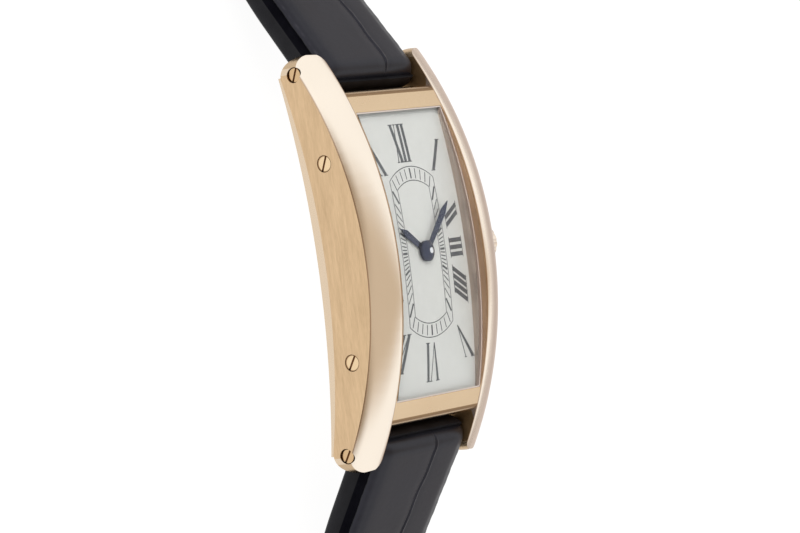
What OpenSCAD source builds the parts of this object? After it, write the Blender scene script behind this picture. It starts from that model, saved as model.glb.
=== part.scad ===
// Curved rectangular dress watch on a leather strap with a folding clasp. The strap is open and lies
// on a table, Z = 0. X points to 3 o'clock, Y to 12 o'clock and Z up through the dial.

/* [Case] */
// Width of the case over its two side rails
case_w = 22.6; // [22:0.2:26]
// Length of the case over the tips of the rails
case_l = 41.6; // [41:0.2:46]
// Width of one polished side rail, seen from the front
rail_w = 3.75; // [3.4:0.05:3.9]
// Height of a rail's inner edge over its outer edge
rail_rise = 1.3; // [1.1:0.05:1.5]
// Radius of the rails' front arc, seen from the side
rail_r = 38.2; // [37:0.2:42]
// Radius of the rounded section of a rail
rail_round = 5.2; // [4.8:0.1:8]
// Depth of the brushed flank at mid length
flank_h = 4.85; // [4.8:0.05:5.2]
// Depth of the polished back bevel at mid length
bevel_h = 1.1; // [1:0.05:1.3]
// How far the back bevel leans in
bevel_in = 0.25; // [0.1:0.05:0.5]
// Radius of a rail's tip
tip_r = 1.95; // [1.85:0.05:2.1]
// Radius of a tip's outer corner, seen from the front
tip_outer = 2; // [1.5:0.1:2.5]
// Radius of a tip's inner corner, seen from the front
tip_inner = 1.2; // [0.8:0.1:1.6]
// Length of the plain bar over and under the crystal
end_bar = 2.3; // [2:0.1:2.6]
// Radius of the end bars' outer edge
end_bar_round = 1.1; // [0.6:0.1:1.4]
// Length of the crystal opening
opening_l = 28.9; // [28:0.1:29.4]
// Wall of the end bars beyond the movement chamber
end_wall = 1.1; // [0.9:0.1:1.3]
// Wall of the rails beside the back
side_wall = 2; // [1.8:0.1:2.2]
// Ledge that the back's gasket seats on
back_ledge = 0.4; // [0.35:0.05:0.5]
// Thickness of the back
back_t = 0.5; // [0.4:0.05:0.55]

/* [Crystal and dial] */
// Thickness of the crystal
crystal_t = 0.5; // [0.4:0.05:0.6]
// How far the crystal's middle lies under the rails' inner edge
crystal_drop = 0.7; // [0.6:0.05:0.8]
// Wall of the crystal's gasket
crystal_seal = 0.15; // [0.1:0.05:0.25]
// Thickness of the dial
dial_t = 0.35; // [0.3:0.05:0.4]
// Height of the rails' outer edge over the middle of the dial
dial_depth = 1; // [0.95:0.05:1.1]
// Gap between the crystal and the dial at the ends of the opening
dial_gap = 0.235; // [0.2:0.005:0.3]

/* [Hands] */
// Length of the minute hand
minute_l = 6.6; // [6:0.1:6.8]
// Length of the hour hand
hour_l = 4.5; // [4:0.1:5]
// Width of the hands
hand_w = 0.75; // [0.5:0.05:0.9]
// Thickness of the hands
hand_t = 0.12; // [0.1:0.01:0.14]
// Radius of the domed cap over the hands
cap_r = 1.05; // [0.9:0.05:1.1]
// Minutes past ten that the hands show
minutes_shown = 7.4; // [6:0.1:9]

/* [Crown] */
// Radius of the crown
crown_r = 1.9; // [1.7:0.05:2]
// Length of the crown without its cabochon
crown_l = 1.9; // [1.7:0.1:2.2]
// Travel of the crown when it is pulled to set the hands
crown_pull = 0.8; // [0.6:0.05:0.9]
// Flutes round the crown
crown_flutes = 16; // [12:1:18]
// Radius of the winding stem
stem_r = 0.5; // [0.45:0.01:0.52]
// Depth of the stem's axis under the rails' outer edge
stem_z = 2.6; // [2.58:0.01:2.65]

/* [Screws and bars] */
// Radius of the slotted screw heads on the flanks
screw_r = 0.8; // [0.7:0.05:0.85]
// Radius of a strap bar screw's head
bar_screw_r = 0.68; // [0.6:0.02:0.8]
// Turn of the screw slots near 12 o'clock, from upright
slot_turn_12 = 24; // [0:1:90]
// Turn of the screw slots near 6 o'clock, from upright
slot_turn_6 = 33; // [0:1:90]
// Height of the screw heads
screw_h = 0.6; // [0.5:0.05:0.7]
// Distance of the case screws from mid length
case_screw_y = 9.86; // [9.7:0.1:10.2]
// Depth of the case screws under the flank's front edge at mid length
case_screw_z = 3.32; // [3.2:0.02:3.4]
// Radius of a screw shank
shank_r = 0.4; // [0.35:0.01:0.42]
// Radius of the strap bars in the case
bar_r = 0.8; // [0.7:0.05:0.85]
// Depth of a strap bar's axis under the flank's front edge
bar_drop = 0.54; // [0.5:0.02:0.6]
// Distance of a strap bar's axis from the rail's tip
bar_inset = 1.85; // [1.8:0.05:1.9]

/* [Strap] */
// Width of the strap at the case
strap_w = 14.6; // [14:0.1:14.7]
// Width of the strap at the clasp
strap_w_end = 12; // [11.5:0.1:12.5]
// Thickness of the strap's edge at the case
strap_t = 2.7; // [2.5:0.1:2.8]
// Thickness of the strap at the clasp
strap_t_end = 2.2; // [2.1:0.1:2.3]
// Height of the padded crown over the edge
strap_crown = 0.5; // [0.3:0.05:0.6]
// Angle at which the strap leaves the case
strap_angle = 33; // [31:1:36]
// Straight run of the strap at the case
strap_run = 12; // [10:0.5:14]
// Radius of the bend that lays the strap on the table
strap_bend = 26; // [22:1:32]
// Length of the 12 o'clock strap, from its bar to the tip of its tail
strap_12_l = 84; // [78:1:92]
// Length of the 6 o'clock strap, from its bar to the clasp's bar
strap_6_l = 56; // [52:1:64]
// Length of the tail's rounded tip
tail_tip = 9; // [7:0.5:11]
// Radius of the holes in the tail
hole_r = 0.75; // [0.6:0.05:0.9]
// Distance between the holes
hole_step = 6; // [5:0.5:6.5]

/* [Clasp] */
// Distance of the clasp's strap bars from its middle
clasp_half = 15.5; // [15.3:0.1:16.5]
// Radius of the clasp's curve inside
clasp_r = 52; // [50:1:60]
// Thickness of the two inner leaves
leaf_t = 0.9; // [0.8:0.05:1]
// Thickness of the cover
cover_t = 1.6; // [1.5:0.05:1.8]
// Width of the inner leaves
leaf_w = 7; // [6:0.2:8]
// Distance of the leaves' hinges from the clasp's middle
hinge_y = 11; // [10.5:0.1:11.4]
// Radius of a hinge knuckle
knuckle_r = 0.85; // [0.8:0.02:0.9]
// Radius of a hinge pin
pin_r = 0.4; // [0.35:0.01:0.45]
// Radius of the clasp's strap bars
end_bar_r = 0.6; // [0.5:0.02:0.65]
// Thickness of the clasp's ears
ear_t = 0.9; // [0.8:0.05:1.1]

/* [Movement] */
// Thickness of the main plate
plate_t = 1; // [0.95:0.01:1.05]
// Depth of the main plate's dial side under the rails' outer edge
plate_z = 2.3; // [2.28:0.01:2.35]
// Width of the main plate
plate_w = 15.2; // [14.8:0.1:15.4]
// Length of the main plate
plate_l = 24; // [23.6:0.1:24.4]
// Height between the main plate and the bridges
train_h = 1.2; // [1.18:0.01:1.22]
// Thickness of the bridges
bridge_t = 0.6; // [0.55:0.01:0.62]
// Module of the barrel's teeth
barrel_m = 0.12; // [0.118:0.001:0.122]
// Module of the centre wheel's teeth
center_m = 0.1; // [0.098:0.001:0.102]
// Module of the third and fourth wheels' teeth
train_m = 0.08; // [0.078:0.001:0.082]
// Radius of the balance wheel
balance_r = 3; // [2.8:0.05:3.1]

/* [Hidden] */
$fn = 48;

// Running clearance of a shaft in its hole, and the gap between pieces that only lie side by side
run = 0.04;
gap = 0.1;
touch = 0.01;
over = 1;

gold = "#d8b48a";
gold_light = "#ecd2ac";
steel = "#c8cacc";
rhodium = "#bfc3c6";
brass_c = "#d9b65c";
ruby = "#c2335a";
blued = "#3b4470";
black_leather = "#2a2a2e";
sealing = "#3a3a3c";

function sag(r, y) = r - sqrt(r * r - y * y);
function polar(r, a) = [r * cos(a), r * sin(a)];

// Case layout: heights are measured from the flank's front edge at mid length
half_w = case_w / 2;
half_l = case_l / 2;
rail_in = half_w - rail_w;
rail_top_r = rail_r + rail_rise;
tip_y = half_l - tip_r;
tip_drop = 0.2;
tip_z = -sag(rail_r, tip_y) - tip_drop;
flank_d = tip_z + flank_h;
flank_back_r = (tip_y * tip_y + flank_d * flank_d - tip_r * tip_r) / (2 * (tip_r - flank_d));
rim_end = 0.35;
back_z = -flank_h - bevel_h;
back_sag = back_z - (tip_z - tip_r - rim_end);
back_r = (tip_y * tip_y + back_sag * back_sag) / (2 * back_sag);
bar_y = half_l - bar_inset;
bar_z = -sag(rail_r, bar_y) - bar_drop;
opening_x = rail_in - 0.17;
opening_y = opening_l / 2;
body_y = opening_y + end_bar;
hole_x = half_w - side_wall;
hole_y = body_y - end_wall;
chamber_x = hole_x - back_ledge;
chamber_y = hole_y - back_ledge;
seal_t = 0.2;
// Seats of the flank screws and of the bars that they hold
slot_w = 0.22;
slot_d = 0.3;
bar_screw_x = half_w - screw_h - 0.25;
bar_end = bar_screw_x - 0.4;
bar_thread = 1.6;
back_block = [0.95, 2.2];
case_thread = side_wall + back_ledge + gap - screw_h + 0.8;

// Crystal and dial
crystal_top = rail_rise - crystal_drop;
crystal_end = rail_rise - sag(rail_top_r, opening_y);
crystal_sag = crystal_top - crystal_end;
crystal_r = (opening_y * opening_y + crystal_sag * crystal_sag) / (2 * crystal_sag);
crystal_x = opening_x - crystal_seal - touch;
crystal_y = opening_y - crystal_seal - touch;
under_end = crystal_top - crystal_r + sqrt(pow(crystal_r - crystal_t, 2) - opening_y * opening_y);
dial_sag = -dial_depth - under_end + dial_gap;
dial_r = (opening_y * opening_y + dial_sag * dial_sag) / (2 * dial_sag);
dial_x = chamber_x - gap;
dial_y = chamber_y - gap;
dial_hole = 0.75;

// Heights in the movement, each piece from the one before it
plate_top = -plate_z;
plate_bot = plate_top - plate_t;
bridge_top = plate_bot - train_h;
bridge_bot = bridge_top - bridge_t;
wheel_t = 0.15;
center_z = plate_bot - 0.25;
third_pinion_z = plate_bot - 0.3;
fourth_z = plate_bot - 0.52;
escape_z = plate_bot - 0.82;
third_z = bridge_top + 0.08;
barrel_lift = 0.3;
barrel_z = bridge_top + barrel_lift;
barrel_h = train_h - barrel_lift - 0.4;
balance_z = bridge_top - 0.3;
pallet_bridge_z = balance_z + wheel_t + 0.11;
hair_z = balance_z - 0.22;
cock_top = hair_z - 0.12;
cock_t = 0.35;
ratchet_t = 0.22;
ratchet_z = bridge_bot - ratchet_t - 0.03;

// Wheel train: teeth, then axes, each set off from the one that drives it
barrel_n = 72;
center_pinion_n = 12;
center_n = 64;
third_pinion_n = 8;
third_n = 60;
fourth_pinion_n = 8;
fourth_n = 56;
escape_pinion_n = 7;
escape_n = 15;
escape_r = 1.45;
pallet_reach = 1.85;
fork_l = 1.75;
barrel_a = 115;
barrel_at = polar(barrel_m * (barrel_n + center_pinion_n) / 2, barrel_a);
third_a = 215;
third_at = polar(center_m * (center_n + third_pinion_n) / 2, third_a);
fourth_a = -80;
fourth_at = third_at + polar(train_m * (third_n + fourth_pinion_n) / 2, fourth_a);
escape_a = -25;
escape_at = fourth_at + polar(train_m * (fourth_n + escape_pinion_n) / 2, escape_a);
pallet_at = escape_at + polar(pallet_reach, -60);
fork_a = -10;
balance_at = pallet_at + polar(fork_l + 0.85, fork_a);
pivot_r = 0.12;
arbor_r = 0.2;
barrel_arbor_r = 0.5;
click_a = 160;
cock_a = -28;
pallet_foot = 3.2;
pallet_foot_a = 205;
// Edges of the bridges, seen from the back
bridge_split = 1.6;
train_edge = escape_at[1] - 0.85;

// Motion work under the dial
motion_m = 0.1;
cannon_n = 10;
minute_n = 30;
minute_pinion_n = 8;
hour_n = 32;
minute_dir = 150;
minute_at = polar(motion_m * (cannon_n + minute_n) / 2, minute_dir);
post_r = 0.18;
cannon_r = 0.36;
hour_pipe_r = 0.58;
hour_z = plate_top + 0.52;
hour_hand_z = -dial_depth + 0.2;
minute_hand_z = hour_hand_z + hand_t + 0.1;
cap_z = minute_hand_z + hand_t;
minute_a = 90 - minutes_shown * 6;
hour_a = 90 - (300 + minutes_shown / 2);

// Winding work
winding_x = 5.2;
winding_n = 14;
winding_m = 0.143;
winding_r = winding_m * (winding_n / 2 + 0.75);
winding_l = 0.7;
stem_start = winding_x - 1.5;
lever_x = winding_x + 1;
crown_wheel_n = 38;
ratchet_n = 42;
ratchet_m = 0.17;
crown_wheel_reach = ratchet_m * (crown_wheel_n + ratchet_n) / 2;
crown_wheel_x = winding_x - 1.3;
crown_wheel_at = [crown_wheel_x,
    barrel_at[1] - sqrt(pow(crown_wheel_reach, 2) - pow(crown_wheel_x - barrel_at[0], 2))];
crown_wheel_a = atan2(crown_wheel_at[1] - barrel_at[1], crown_wheel_at[0] - barrel_at[0]);
crown_wheel_hub = 0.4;
contrate_r = 2.2;
contrate_t = 0.15;
contrate_z = -stem_z - winding_r - 0.06 - contrate_t;
tube_r = 0.95;
tube_out = half_w + 0.5;
crown_x = half_w + 0.25;
cabochon_r = 1.15;
crown_skirt = 0.4;
crown_edge = 0.25;

// Clasp layout, seen from the side with its curve downwards
knuckle_gap = 0.15;
leaf_r = [clasp_r, clasp_r + leaf_t, clasp_r + leaf_t + knuckle_gap, clasp_r + 2 * leaf_t + knuckle_gap,
    clasp_r + 2 * leaf_t + 2 * knuckle_gap, clasp_r + 2 * leaf_t + 2 * knuckle_gap + cover_t];
clasp_z = leaf_r[5];
end_r = clasp_r + leaf_t + 0.7;
end_slope = asin(clasp_half / end_r);
end_z = clasp_z - end_r * cos(end_slope);
hinge_b_r = (leaf_r[1] + leaf_r[2]) / 2;
hinge_a_r = (leaf_r[3] + leaf_r[4]) / 2;
hinge_b = [hinge_y, clasp_z - sqrt(hinge_b_r * hinge_b_r - hinge_y * hinge_y)];
hinge_a = [-hinge_y, clasp_z - sqrt(hinge_a_r * hinge_a_r - hinge_y * hinge_y)];
ear_x = strap_w_end / 2 + 0.15;
ear_r = end_bar_r + 0.75;
loop_r = strap_t / 2 + 0.1;
end_loop_r = strap_t_end / 2 + 0.1;

// Strap layout, seen from the side: straight from the bar, one bend, then flat on the table
function strap_share(s) = min(s / strap_6_l, 1);
function strap_thick(s) = strap_t + (strap_t_end - strap_t) * strap_share(s);
function strap_wide(s) = strap_w + (strap_w_end - strap_w) * strap_share(s);
bend_l = strap_bend * strap_angle * PI / 180;
bend_end = strap_run + bend_l;
bend_steps = 12;
pivot_z = strap_thick(bend_end) / 2 + strap_bend * (1 - cos(strap_angle)) + strap_run * sin(strap_angle);
bend_at = [bar_y + strap_run * cos(strap_angle) + strap_bend * sin(strap_angle),
    strap_thick(bend_end) / 2 + strap_bend];
head_z = pivot_z - bar_z;
strap_end_y = bend_at[0] + strap_6_l - bend_end;
// The head's place along Y leaves the middle of the 6 o'clock strap's flat lining at the origin
head_y = (bend_at[0] + strap_end_y) / 2;
hole_count = 5;
hole_first = strap_12_l - tail_tip - 4;

// The strap's middle line: [y, z, angle below the horizontal] at a length from the bar in the case
function strap_at(s) =
    s < strap_run ? [bar_y + s * cos(strap_angle), pivot_z - s * sin(strap_angle), strap_angle]
    : s < bend_end ? let (a = strap_angle - (s - strap_run) / strap_bend * 180 / PI)
        [bend_at[0] - strap_bend * sin(a), bend_at[1] - strap_bend * cos(a), a]
    : [bend_at[0] + s - bend_end, strap_thick(s) / 2, 0];
function strap_stops(l, tail) = concat([0, strap_run / 2, strap_run],
    [for (i = [1 : bend_steps]) strap_run + bend_l * i / bend_steps],
    tail ? [strap_6_l] : [],
    tail ? [for (k = [0 : 6]) l - tail_tip + tail_tip * sin(k * 15)] : [l]);
function tail_share(s, l) = s > l - tail_tip ? sqrt(1 - 0.9 * pow((s - l + tail_tip) / tail_tip, 2)) : 1;
// Section of the strap, as [across, outward], with a flat lining and a crowned face
crown_steps = [0.92, 0.7, 0.35, 0, -0.35, -0.7, -0.92];
function strap_section(w, t, c) = concat(
    [[-w / 2, -t / 2], [w / 2, -t / 2], [w / 2, t / 2 - 0.3]],
    [for (k = crown_steps) [k * w / 2, t / 2 - 0.3 + (c + 0.3) * (1 - pow(abs(k), 3))]],
    [[-w / 2, t / 2 - 0.3]]);

// Small helpers
module on_head() translate([0, head_y, head_z]) children();
module on_table() translate([0, head_y, 0]) children();
// Turns the clasp over and stands it on its ears beyond the 6 o'clock strap
module on_clasp() translate([0, head_y - strap_end_y - clasp_half, ear_r + end_z]) rotate([180, 0, 0])
    children();
// Draws a side view, given as [y, z], from one x to another
module along_x(x0, x1) translate([x0, 0, 0]) rotate([90, 0, 90]) linear_extrude(x1 - x0) children();
module rod_x(x0, x1, r) translate([x0, 0, 0]) rotate([0, 90, 0]) cylinder(h = x1 - x0, r = r);
module both_sides() { children(); mirror([1, 0, 0]) children(); }
module block(x, y, z0, z1) translate([-x, -y, z0]) cube([2 * x, 2 * y, z1 - z0]);
// Everything under a cylinder that lies along X, and everything over it
module under_arc(x, y, r, top, deep = 14) intersection() {
    block(x, y, top - deep, top + over);
    translate([0, 0, top - r]) rod_x(-x - over, x + over, r, $fn = 360);
}
module over_arc(x, y, r, low, high = 14) difference() {
    block(x, y, low - 4, low + high);
    translate([0, 0, low - r]) rod_x(-x - over, x + over, r, $fn = 360);
}
// Flat wheel with straight teeth round its pitch circle
module gear(n, m, t, bore = 0) linear_extrude(t) difference() {
    polygon([for (i = [0 : n - 1]) for (k = [[-0.25, -1.1], [-0.13, 0.75], [0.13, 0.75], [0.25, -1.1]])
        polar(n * m / 2 + k[1] * m, (i + k[0]) * 360 / n)]);
    if (bore > 0) circle(bore);
}
// Wheel with spokes, its lower face at z
module spoked(n, m, z, t, hub, spokes) translate([0, 0, z]) {
    rim = n * m / 2 - 1.1 * m;
    difference() {
        gear(n, m, t);
        translate([0, 0, -over]) difference() {
            cylinder(h = t + 2 * over, r = rim - 0.35);
            cylinder(h = t + 2 * over, r = hub);
            for (a = [0 : spokes - 1]) rotate(a * 360 / spokes) translate([0, -0.13, 0]) cube([rim, 0.26, 9]);
        }
    }
}
// Flat spiral of n turns between two radii
module spiral(r0, r1, n, w, t, steps = 20) {
    total = n * steps;
    linear_extrude(t) polygon(concat(
        [for (i = [0 : total]) polar(r0 + (r1 - r0) * i / total, i * 360 / steps)],
        [for (i = [total : -1 : 0]) polar(r0 + w + (r1 - r0) * i / total, i * 360 / steps)]));
}
// Slotted screw that points along +X from the underside of its head at the origin
module slotted_screw(r, h, shank, l, turn) difference() {
    union() {
        rod_x(0, h, r);
        rod_x(-l, touch, shank);
    }
    translate([h - slot_d, 0, 0]) rotate([turn, 0, 0]) translate([0, -over - r, -slot_w / 2])
        cube([over, 2 * over + 2 * r, slot_w]);
}

// Case
rail_deep = 16;
module rail_solid() intersection() {
    // Front face: the rounded section turned about the rails' common centre
    translate([0, 0, -rail_r]) rotate([0, 90, 0]) rotate_extrude($fn = 360) intersection() {
        translate([rail_r - rail_deep, rail_in]) square([rail_deep + 4, rail_w]);
        rail_section();
    }
    // Flank and back bevel
    translate([0, 0, -flank_h - flank_back_r]) rotate([0, 90, 0]) rotate_extrude($fn = 360)
        polygon([[flank_back_r - 5, rail_in], [flank_back_r + 9, rail_in], [flank_back_r + 9, half_w],
            [flank_back_r, half_w], [flank_back_r - bevel_h, half_w - bevel_in],
            [flank_back_r - 5, half_w - bevel_in]]);
    // Side view: the arch of the back and the two round tips
    union() {
        difference() {
            along_x(rail_in - over, half_w + over) translate([-tip_y, -12]) square([2 * tip_y, 16]);
            translate([0, 0, back_z - back_r]) rod_x(0, half_w + 2 * over, back_r, $fn = 720);
        }
        for (s = [-1, 1]) translate([0, s * tip_y, tip_z]) rod_x(rail_in - over, half_w + over, tip_r);
    }
    // Front view: round corners at both tips
    translate([0, 0, -rail_deep]) linear_extrude(2 * rail_deep) hull() for (s = [-1, 1]) {
        translate([half_w - tip_outer, s * (tip_y + tip_r - tip_outer)]) circle(tip_outer, $fn = 96);
        translate([rail_in + tip_inner, s * (tip_y + tip_r - tip_inner)]) circle(tip_inner, $fn = 64);
    }
}
// Rounded top of a rail as [radius, x], through its inner and outer edges
module rail_section() {
    chord = [half_w - rail_in, -rail_rise];
    half_chord = norm(chord) / 2;
    lift = sqrt(rail_round * rail_round - half_chord * half_chord);
    mid = [rail_r + rail_rise / 2, (rail_in + half_w) / 2];
    center = mid - lift * [chord[0], -chord[1]] / (2 * half_chord);
    translate(center) circle(rail_round, $fn = 180);
    translate([rail_r - rail_deep, rail_in]) square([rail_deep + center[0] - rail_r, rail_w]);
}
// What the rounding takes off an end bar's outer edge
module end_bar_corner() {
    y = body_y - end_bar_round;
    lean = asin(y / (rail_top_r - end_bar_round));
    z = (rail_top_r - end_bar_round) * cos(lean) - rail_r - 0.02;
    far = 2 * end_bar_round;
    along_x(-rail_in - 1, rail_in + 1) difference() {
        polygon([[y, z], [y + far * sin(lean), z + far * cos(lean)], [y + far, z + far], [y + far, z]]);
        translate([y, z]) circle(end_bar_round, $fn = 96);
    }
}
module case_front() color(gold) on_head() difference() {
    union() {
        both_sides() rail_solid();
        difference() {
            intersection() {
                over_arc(rail_in + 0.5, body_y, back_r, back_z, 16);
                under_arc(rail_in + 0.5, body_y, rail_top_r, rail_rise - 0.02);
            }
            for (turn = [0, 180]) rotate([0, 0, turn]) end_bar_corner();
        }
    }
    block(opening_x, opening_y, -9, 4);
    under_arc(chamber_x, chamber_y, dial_r + touch, -dial_depth + touch);
    under_arc(hole_x, hole_y, back_r - back_t - seal_t, back_z + back_t + seal_t);
    for (s = [-1, 1]) {
        both_sides() translate([0, s * case_screw_y, -case_screw_z]) {
            rod_x(half_w - screw_h, half_w + over, screw_r + gap / 2);
            rod_x(chamber_x - over, half_w, shank_r + run);
        }
        both_sides() translate([0, s * bar_y, bar_z]) {
            rod_x(bar_screw_x, half_w + over, bar_screw_r + gap);
            rod_x(rail_in - over, bar_end, bar_r + run);
            rod_x(rail_in, half_w, shank_r + run);
        }
    }
    translate([0, 0, -stem_z]) rod_x(rail_in - over, half_w + over, tube_r + touch);
}
module case_back() color(gold) on_head() difference() {
    union() {
        intersection() {
            block(hole_x - run, hole_y - run, back_z - 4, 0);
            over_arc(hole_x, hole_y, back_r, back_z, 4.2);
            under_arc(hole_x, hole_y, back_r, back_z + back_t, 9);
        }
        // Blocks that take the case screws
        both_sides() for (s = [-1, 1]) intersection() {
            translate([chamber_x - gap - back_block[0], s * case_screw_y - back_block[1] / 2, back_z - 2])
                cube([back_block[0], back_block[1], 2 - back_z - case_screw_z + 0.8]);
            over_arc(hole_x, hole_y, back_r, back_z + back_t - 0.1, 9);
        }
    }
    both_sides() for (s = [-1, 1]) translate([0, s * case_screw_y, -case_screw_z])
        rod_x(chamber_x - 3, half_w, shank_r + touch);
}
module back_gasket() color(sealing) on_head() difference() {
    intersection() {
        block(hole_x - run, hole_y - run, -12, 0);
        over_arc(hole_x, hole_y, back_r, back_z + back_t, 6);
        under_arc(hole_x, hole_y, back_r, back_z + back_t + seal_t - touch, 9);
    }
    block(chamber_x, chamber_y, -12, 1);
}
module crystal() color("#dfe8ec", 0.4) on_head() intersection() {
    under_arc(crystal_x, crystal_y, crystal_r, crystal_top);
    over_arc(crystal_x, crystal_y, crystal_r - crystal_t, crystal_top - crystal_t, 6);
}
module crystal_gasket() color("#d8d4cc") on_head() difference() {
    intersection() {
        under_arc(opening_x - touch, opening_y - touch, crystal_r, crystal_top - 0.08);
        over_arc(opening_x, opening_y, crystal_r - crystal_t, crystal_top - crystal_t, 6);
    }
    block(crystal_x, crystal_y, -9, 9);
}
module dial() color("#deded8") on_head() difference() {
    intersection() {
        under_arc(dial_x, dial_y, dial_r, -dial_depth);
        over_arc(dial_x, dial_y, dial_r - dial_t, -dial_depth - dial_t, 6);
    }
    translate([0, 0, -dial_depth - 2]) cylinder(h = 4, r = dial_hole);
}
module movement_holder() color("#8a8c90") on_head() difference() {
    intersection() {
        block(chamber_x - gap, chamber_y - gap, plate_bot - train_h, 0);
        under_arc(chamber_x, chamber_y, dial_r - dial_t, -dial_depth - dial_t - 0.02);
    }
    block(plate_w / 2 + 0.03, plate_l / 2 + 0.03, -12, 0);
    both_sides() for (s = [-1, 1])
        translate([chamber_x - gap - back_block[0] - gap, s * case_screw_y - back_block[1] / 2 - gap, -12])
            cube([3, back_block[1] + 2 * gap, 12]);
    translate([0, 0, -stem_z]) rod_x(0, half_w, tube_r + gap);
}
module crown_tube() color(steel) on_head() translate([0, 0, -stem_z]) difference() {
    rod_x(hole_x - 1, tube_out, tube_r);
    rod_x(0, tube_out + over, stem_r + run);
}
module case_screws() color(gold_light) on_head() for (s = [-1, 1])
    both_sides() translate([half_w - screw_h, s * case_screw_y, -case_screw_z])
        slotted_screw(screw_r, screw_h - 0.02, shank_r, case_thread, s > 0 ? slot_turn_12 : slot_turn_6);
module bar_screws() color(gold_light) on_head() for (s = [-1, 1])
    both_sides() translate([bar_screw_x, s * bar_y, bar_z])
        slotted_screw(bar_screw_r, screw_h, shank_r, bar_thread, s > 0 ? slot_turn_12 : slot_turn_6);
// Bar that carries the strap, threaded at both ends for its screws
module strap_bar(s) translate([0, s * bar_y, bar_z]) difference() {
    rod_x(touch - bar_end, bar_end - touch, bar_r);
    both_sides() rod_x(bar_screw_x - bar_thread - gap, half_w, shank_r + touch);
}
module strap_bar_12() color(steel) on_head() strap_bar(1);
module strap_bar_6() color(steel) on_head() strap_bar(-1);

// Crown and keyless work
module crown() color(gold) on_head() translate([crown_x, 0, -stem_z]) rotate([0, 90, 0]) difference() {
    rotate_extrude() polygon([[stem_r + touch, crown_skirt], [tube_r + gap, crown_skirt], [tube_r + gap, 0],
        [crown_r - crown_edge, 0], [crown_r, crown_edge], [crown_r, crown_l - crown_skirt],
        [cabochon_r + gap, crown_l], [cabochon_r + touch, crown_l], [cabochon_r + touch, crown_l - crown_skirt],
        [stem_r + touch, crown_l - crown_skirt]]);
    for (a = [0 : crown_flutes - 1]) rotate(a * 360 / crown_flutes)
        translate([crown_r + 0.14, 0, -over]) cylinder(h = crown_l + 2 * over, r = 0.24, $fn = 24);
}
module cabochon() color("#27345c") on_head()
    translate([crown_x + crown_l - crown_skirt + touch, 0, -stem_z]) rotate([0, 90, 0])
    rotate_extrude() intersection() {
        square([cabochon_r, 2]);
        translate([0, -0.62]) circle(1.75);
    }
module stem() color(steel) on_head() translate([0, 0, -stem_z])
    rod_x(stem_start, crown_x + crown_l - crown_skirt - touch, stem_r);
module winding_pinion() color(steel) on_head() translate([winding_x, 0, -stem_z]) rotate([0, 90, 0])
    translate([0, 0, -winding_l / 2]) gear(winding_n, winding_m, winding_l, stem_r + touch);
// Slips into a groove of the stem and holds its two places
module setting_lever() color(steel) on_head() difference() {
    translate([lever_x, -2.6, -stem_z - 0.8]) cube([0.4, 3.6, 1.6]);
    translate([0, 0, -stem_z]) rod_x(0, half_w, stem_r + run);
}

// Plates and bridges
module pillar(at, z0, z1, r) translate([at[0], at[1], z0]) cylinder(h = z1 - z0, r = r);
module at(p, z = 0) translate([p[0], p[1], z]) children();
corner_foot = [plate_w / 2 - 1, plate_l / 2 - 1.1];
side_foot = -(plate_w / 2 - 0.8);
barrel_feet = [[-corner_foot[0], corner_foot[1]], corner_foot, [side_foot, 2.4]];
train_foot = [side_foot, -4.5];
foot_r = 0.6;
foot_screw_r = 0.3;
jewel_r = 0.45;
main_spots = [third_at, fourth_at, escape_at, pallet_at, balance_at];
module main_plate() color(rhodium) on_head() difference() {
    block(plate_w / 2, plate_l / 2, plate_bot, plate_top);
    at([0, 0], plate_bot - over) cylinder(h = 4, r = arbor_r + 0.2 + run);
    for (p = main_spots) at(p, plate_bot - over) cylinder(h = 4, r = jewel_r + touch);
    at(barrel_at, plate_bot - over) cylinder(h = 4, r = barrel_arbor_r + run);
    at(minute_at, plate_bot - over) cylinder(h = 4, r = post_r + run);
    // Channel for the stem, the winding pinion and the setting lever
    translate([0, 0, -stem_z]) rod_x(stem_start - gap, plate_w, stem_r + run);
    translate([winding_x - winding_l, -winding_r - 0.2, plate_bot - over]) cube([9, 2 * winding_r + 0.4, 4]);
    translate([lever_x - gap, -2.9, plate_bot - over]) cube([9, 4.4, 4]);
}
module barrel_bridge() color(rhodium) on_head() difference() {
    union() {
        intersection() {
            block(plate_w / 2, plate_l / 2, bridge_bot, bridge_top);
            union() {
                translate([-plate_w / 2, bridge_split, bridge_bot]) cube([plate_w, plate_l, bridge_t]);
                at(crown_wheel_at, bridge_bot) translate([-1.5, -1.2, 0]) cube([plate_w, plate_l, bridge_t]);
            }
        }
        for (p = barrel_feet) pillar(p, bridge_top - touch, plate_bot, foot_r);
    }
    at(barrel_at, bridge_bot - over) cylinder(h = 4, r = barrel_arbor_r + run);
    at(crown_wheel_at, bridge_bot - over) cylinder(h = 4, r = crown_wheel_hub + run);
    for (p = barrel_feet) at(p, bridge_bot - over) cylinder(h = 4, r = foot_screw_r + touch);
}
module train_bridge() color(rhodium) on_head() difference() {
    union() {
        difference() {
            translate([-plate_w / 2, train_edge, bridge_bot])
                cube([plate_w / 2 + 1.4, bridge_split - gap - train_edge, bridge_t]);
            at(balance_at, bridge_bot - over) cylinder(h = 4, r = balance_r + 0.15);
        }
        pillar(train_foot, bridge_top - touch, plate_bot, foot_r);
    }
    for (p = [third_at, fourth_at, escape_at, [0, 0]])
        at(p, bridge_bot - over) cylinder(h = 4, r = jewel_r + touch);
    at(train_foot, bridge_bot - over) cylinder(h = 4, r = foot_screw_r + touch);
}
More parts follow.
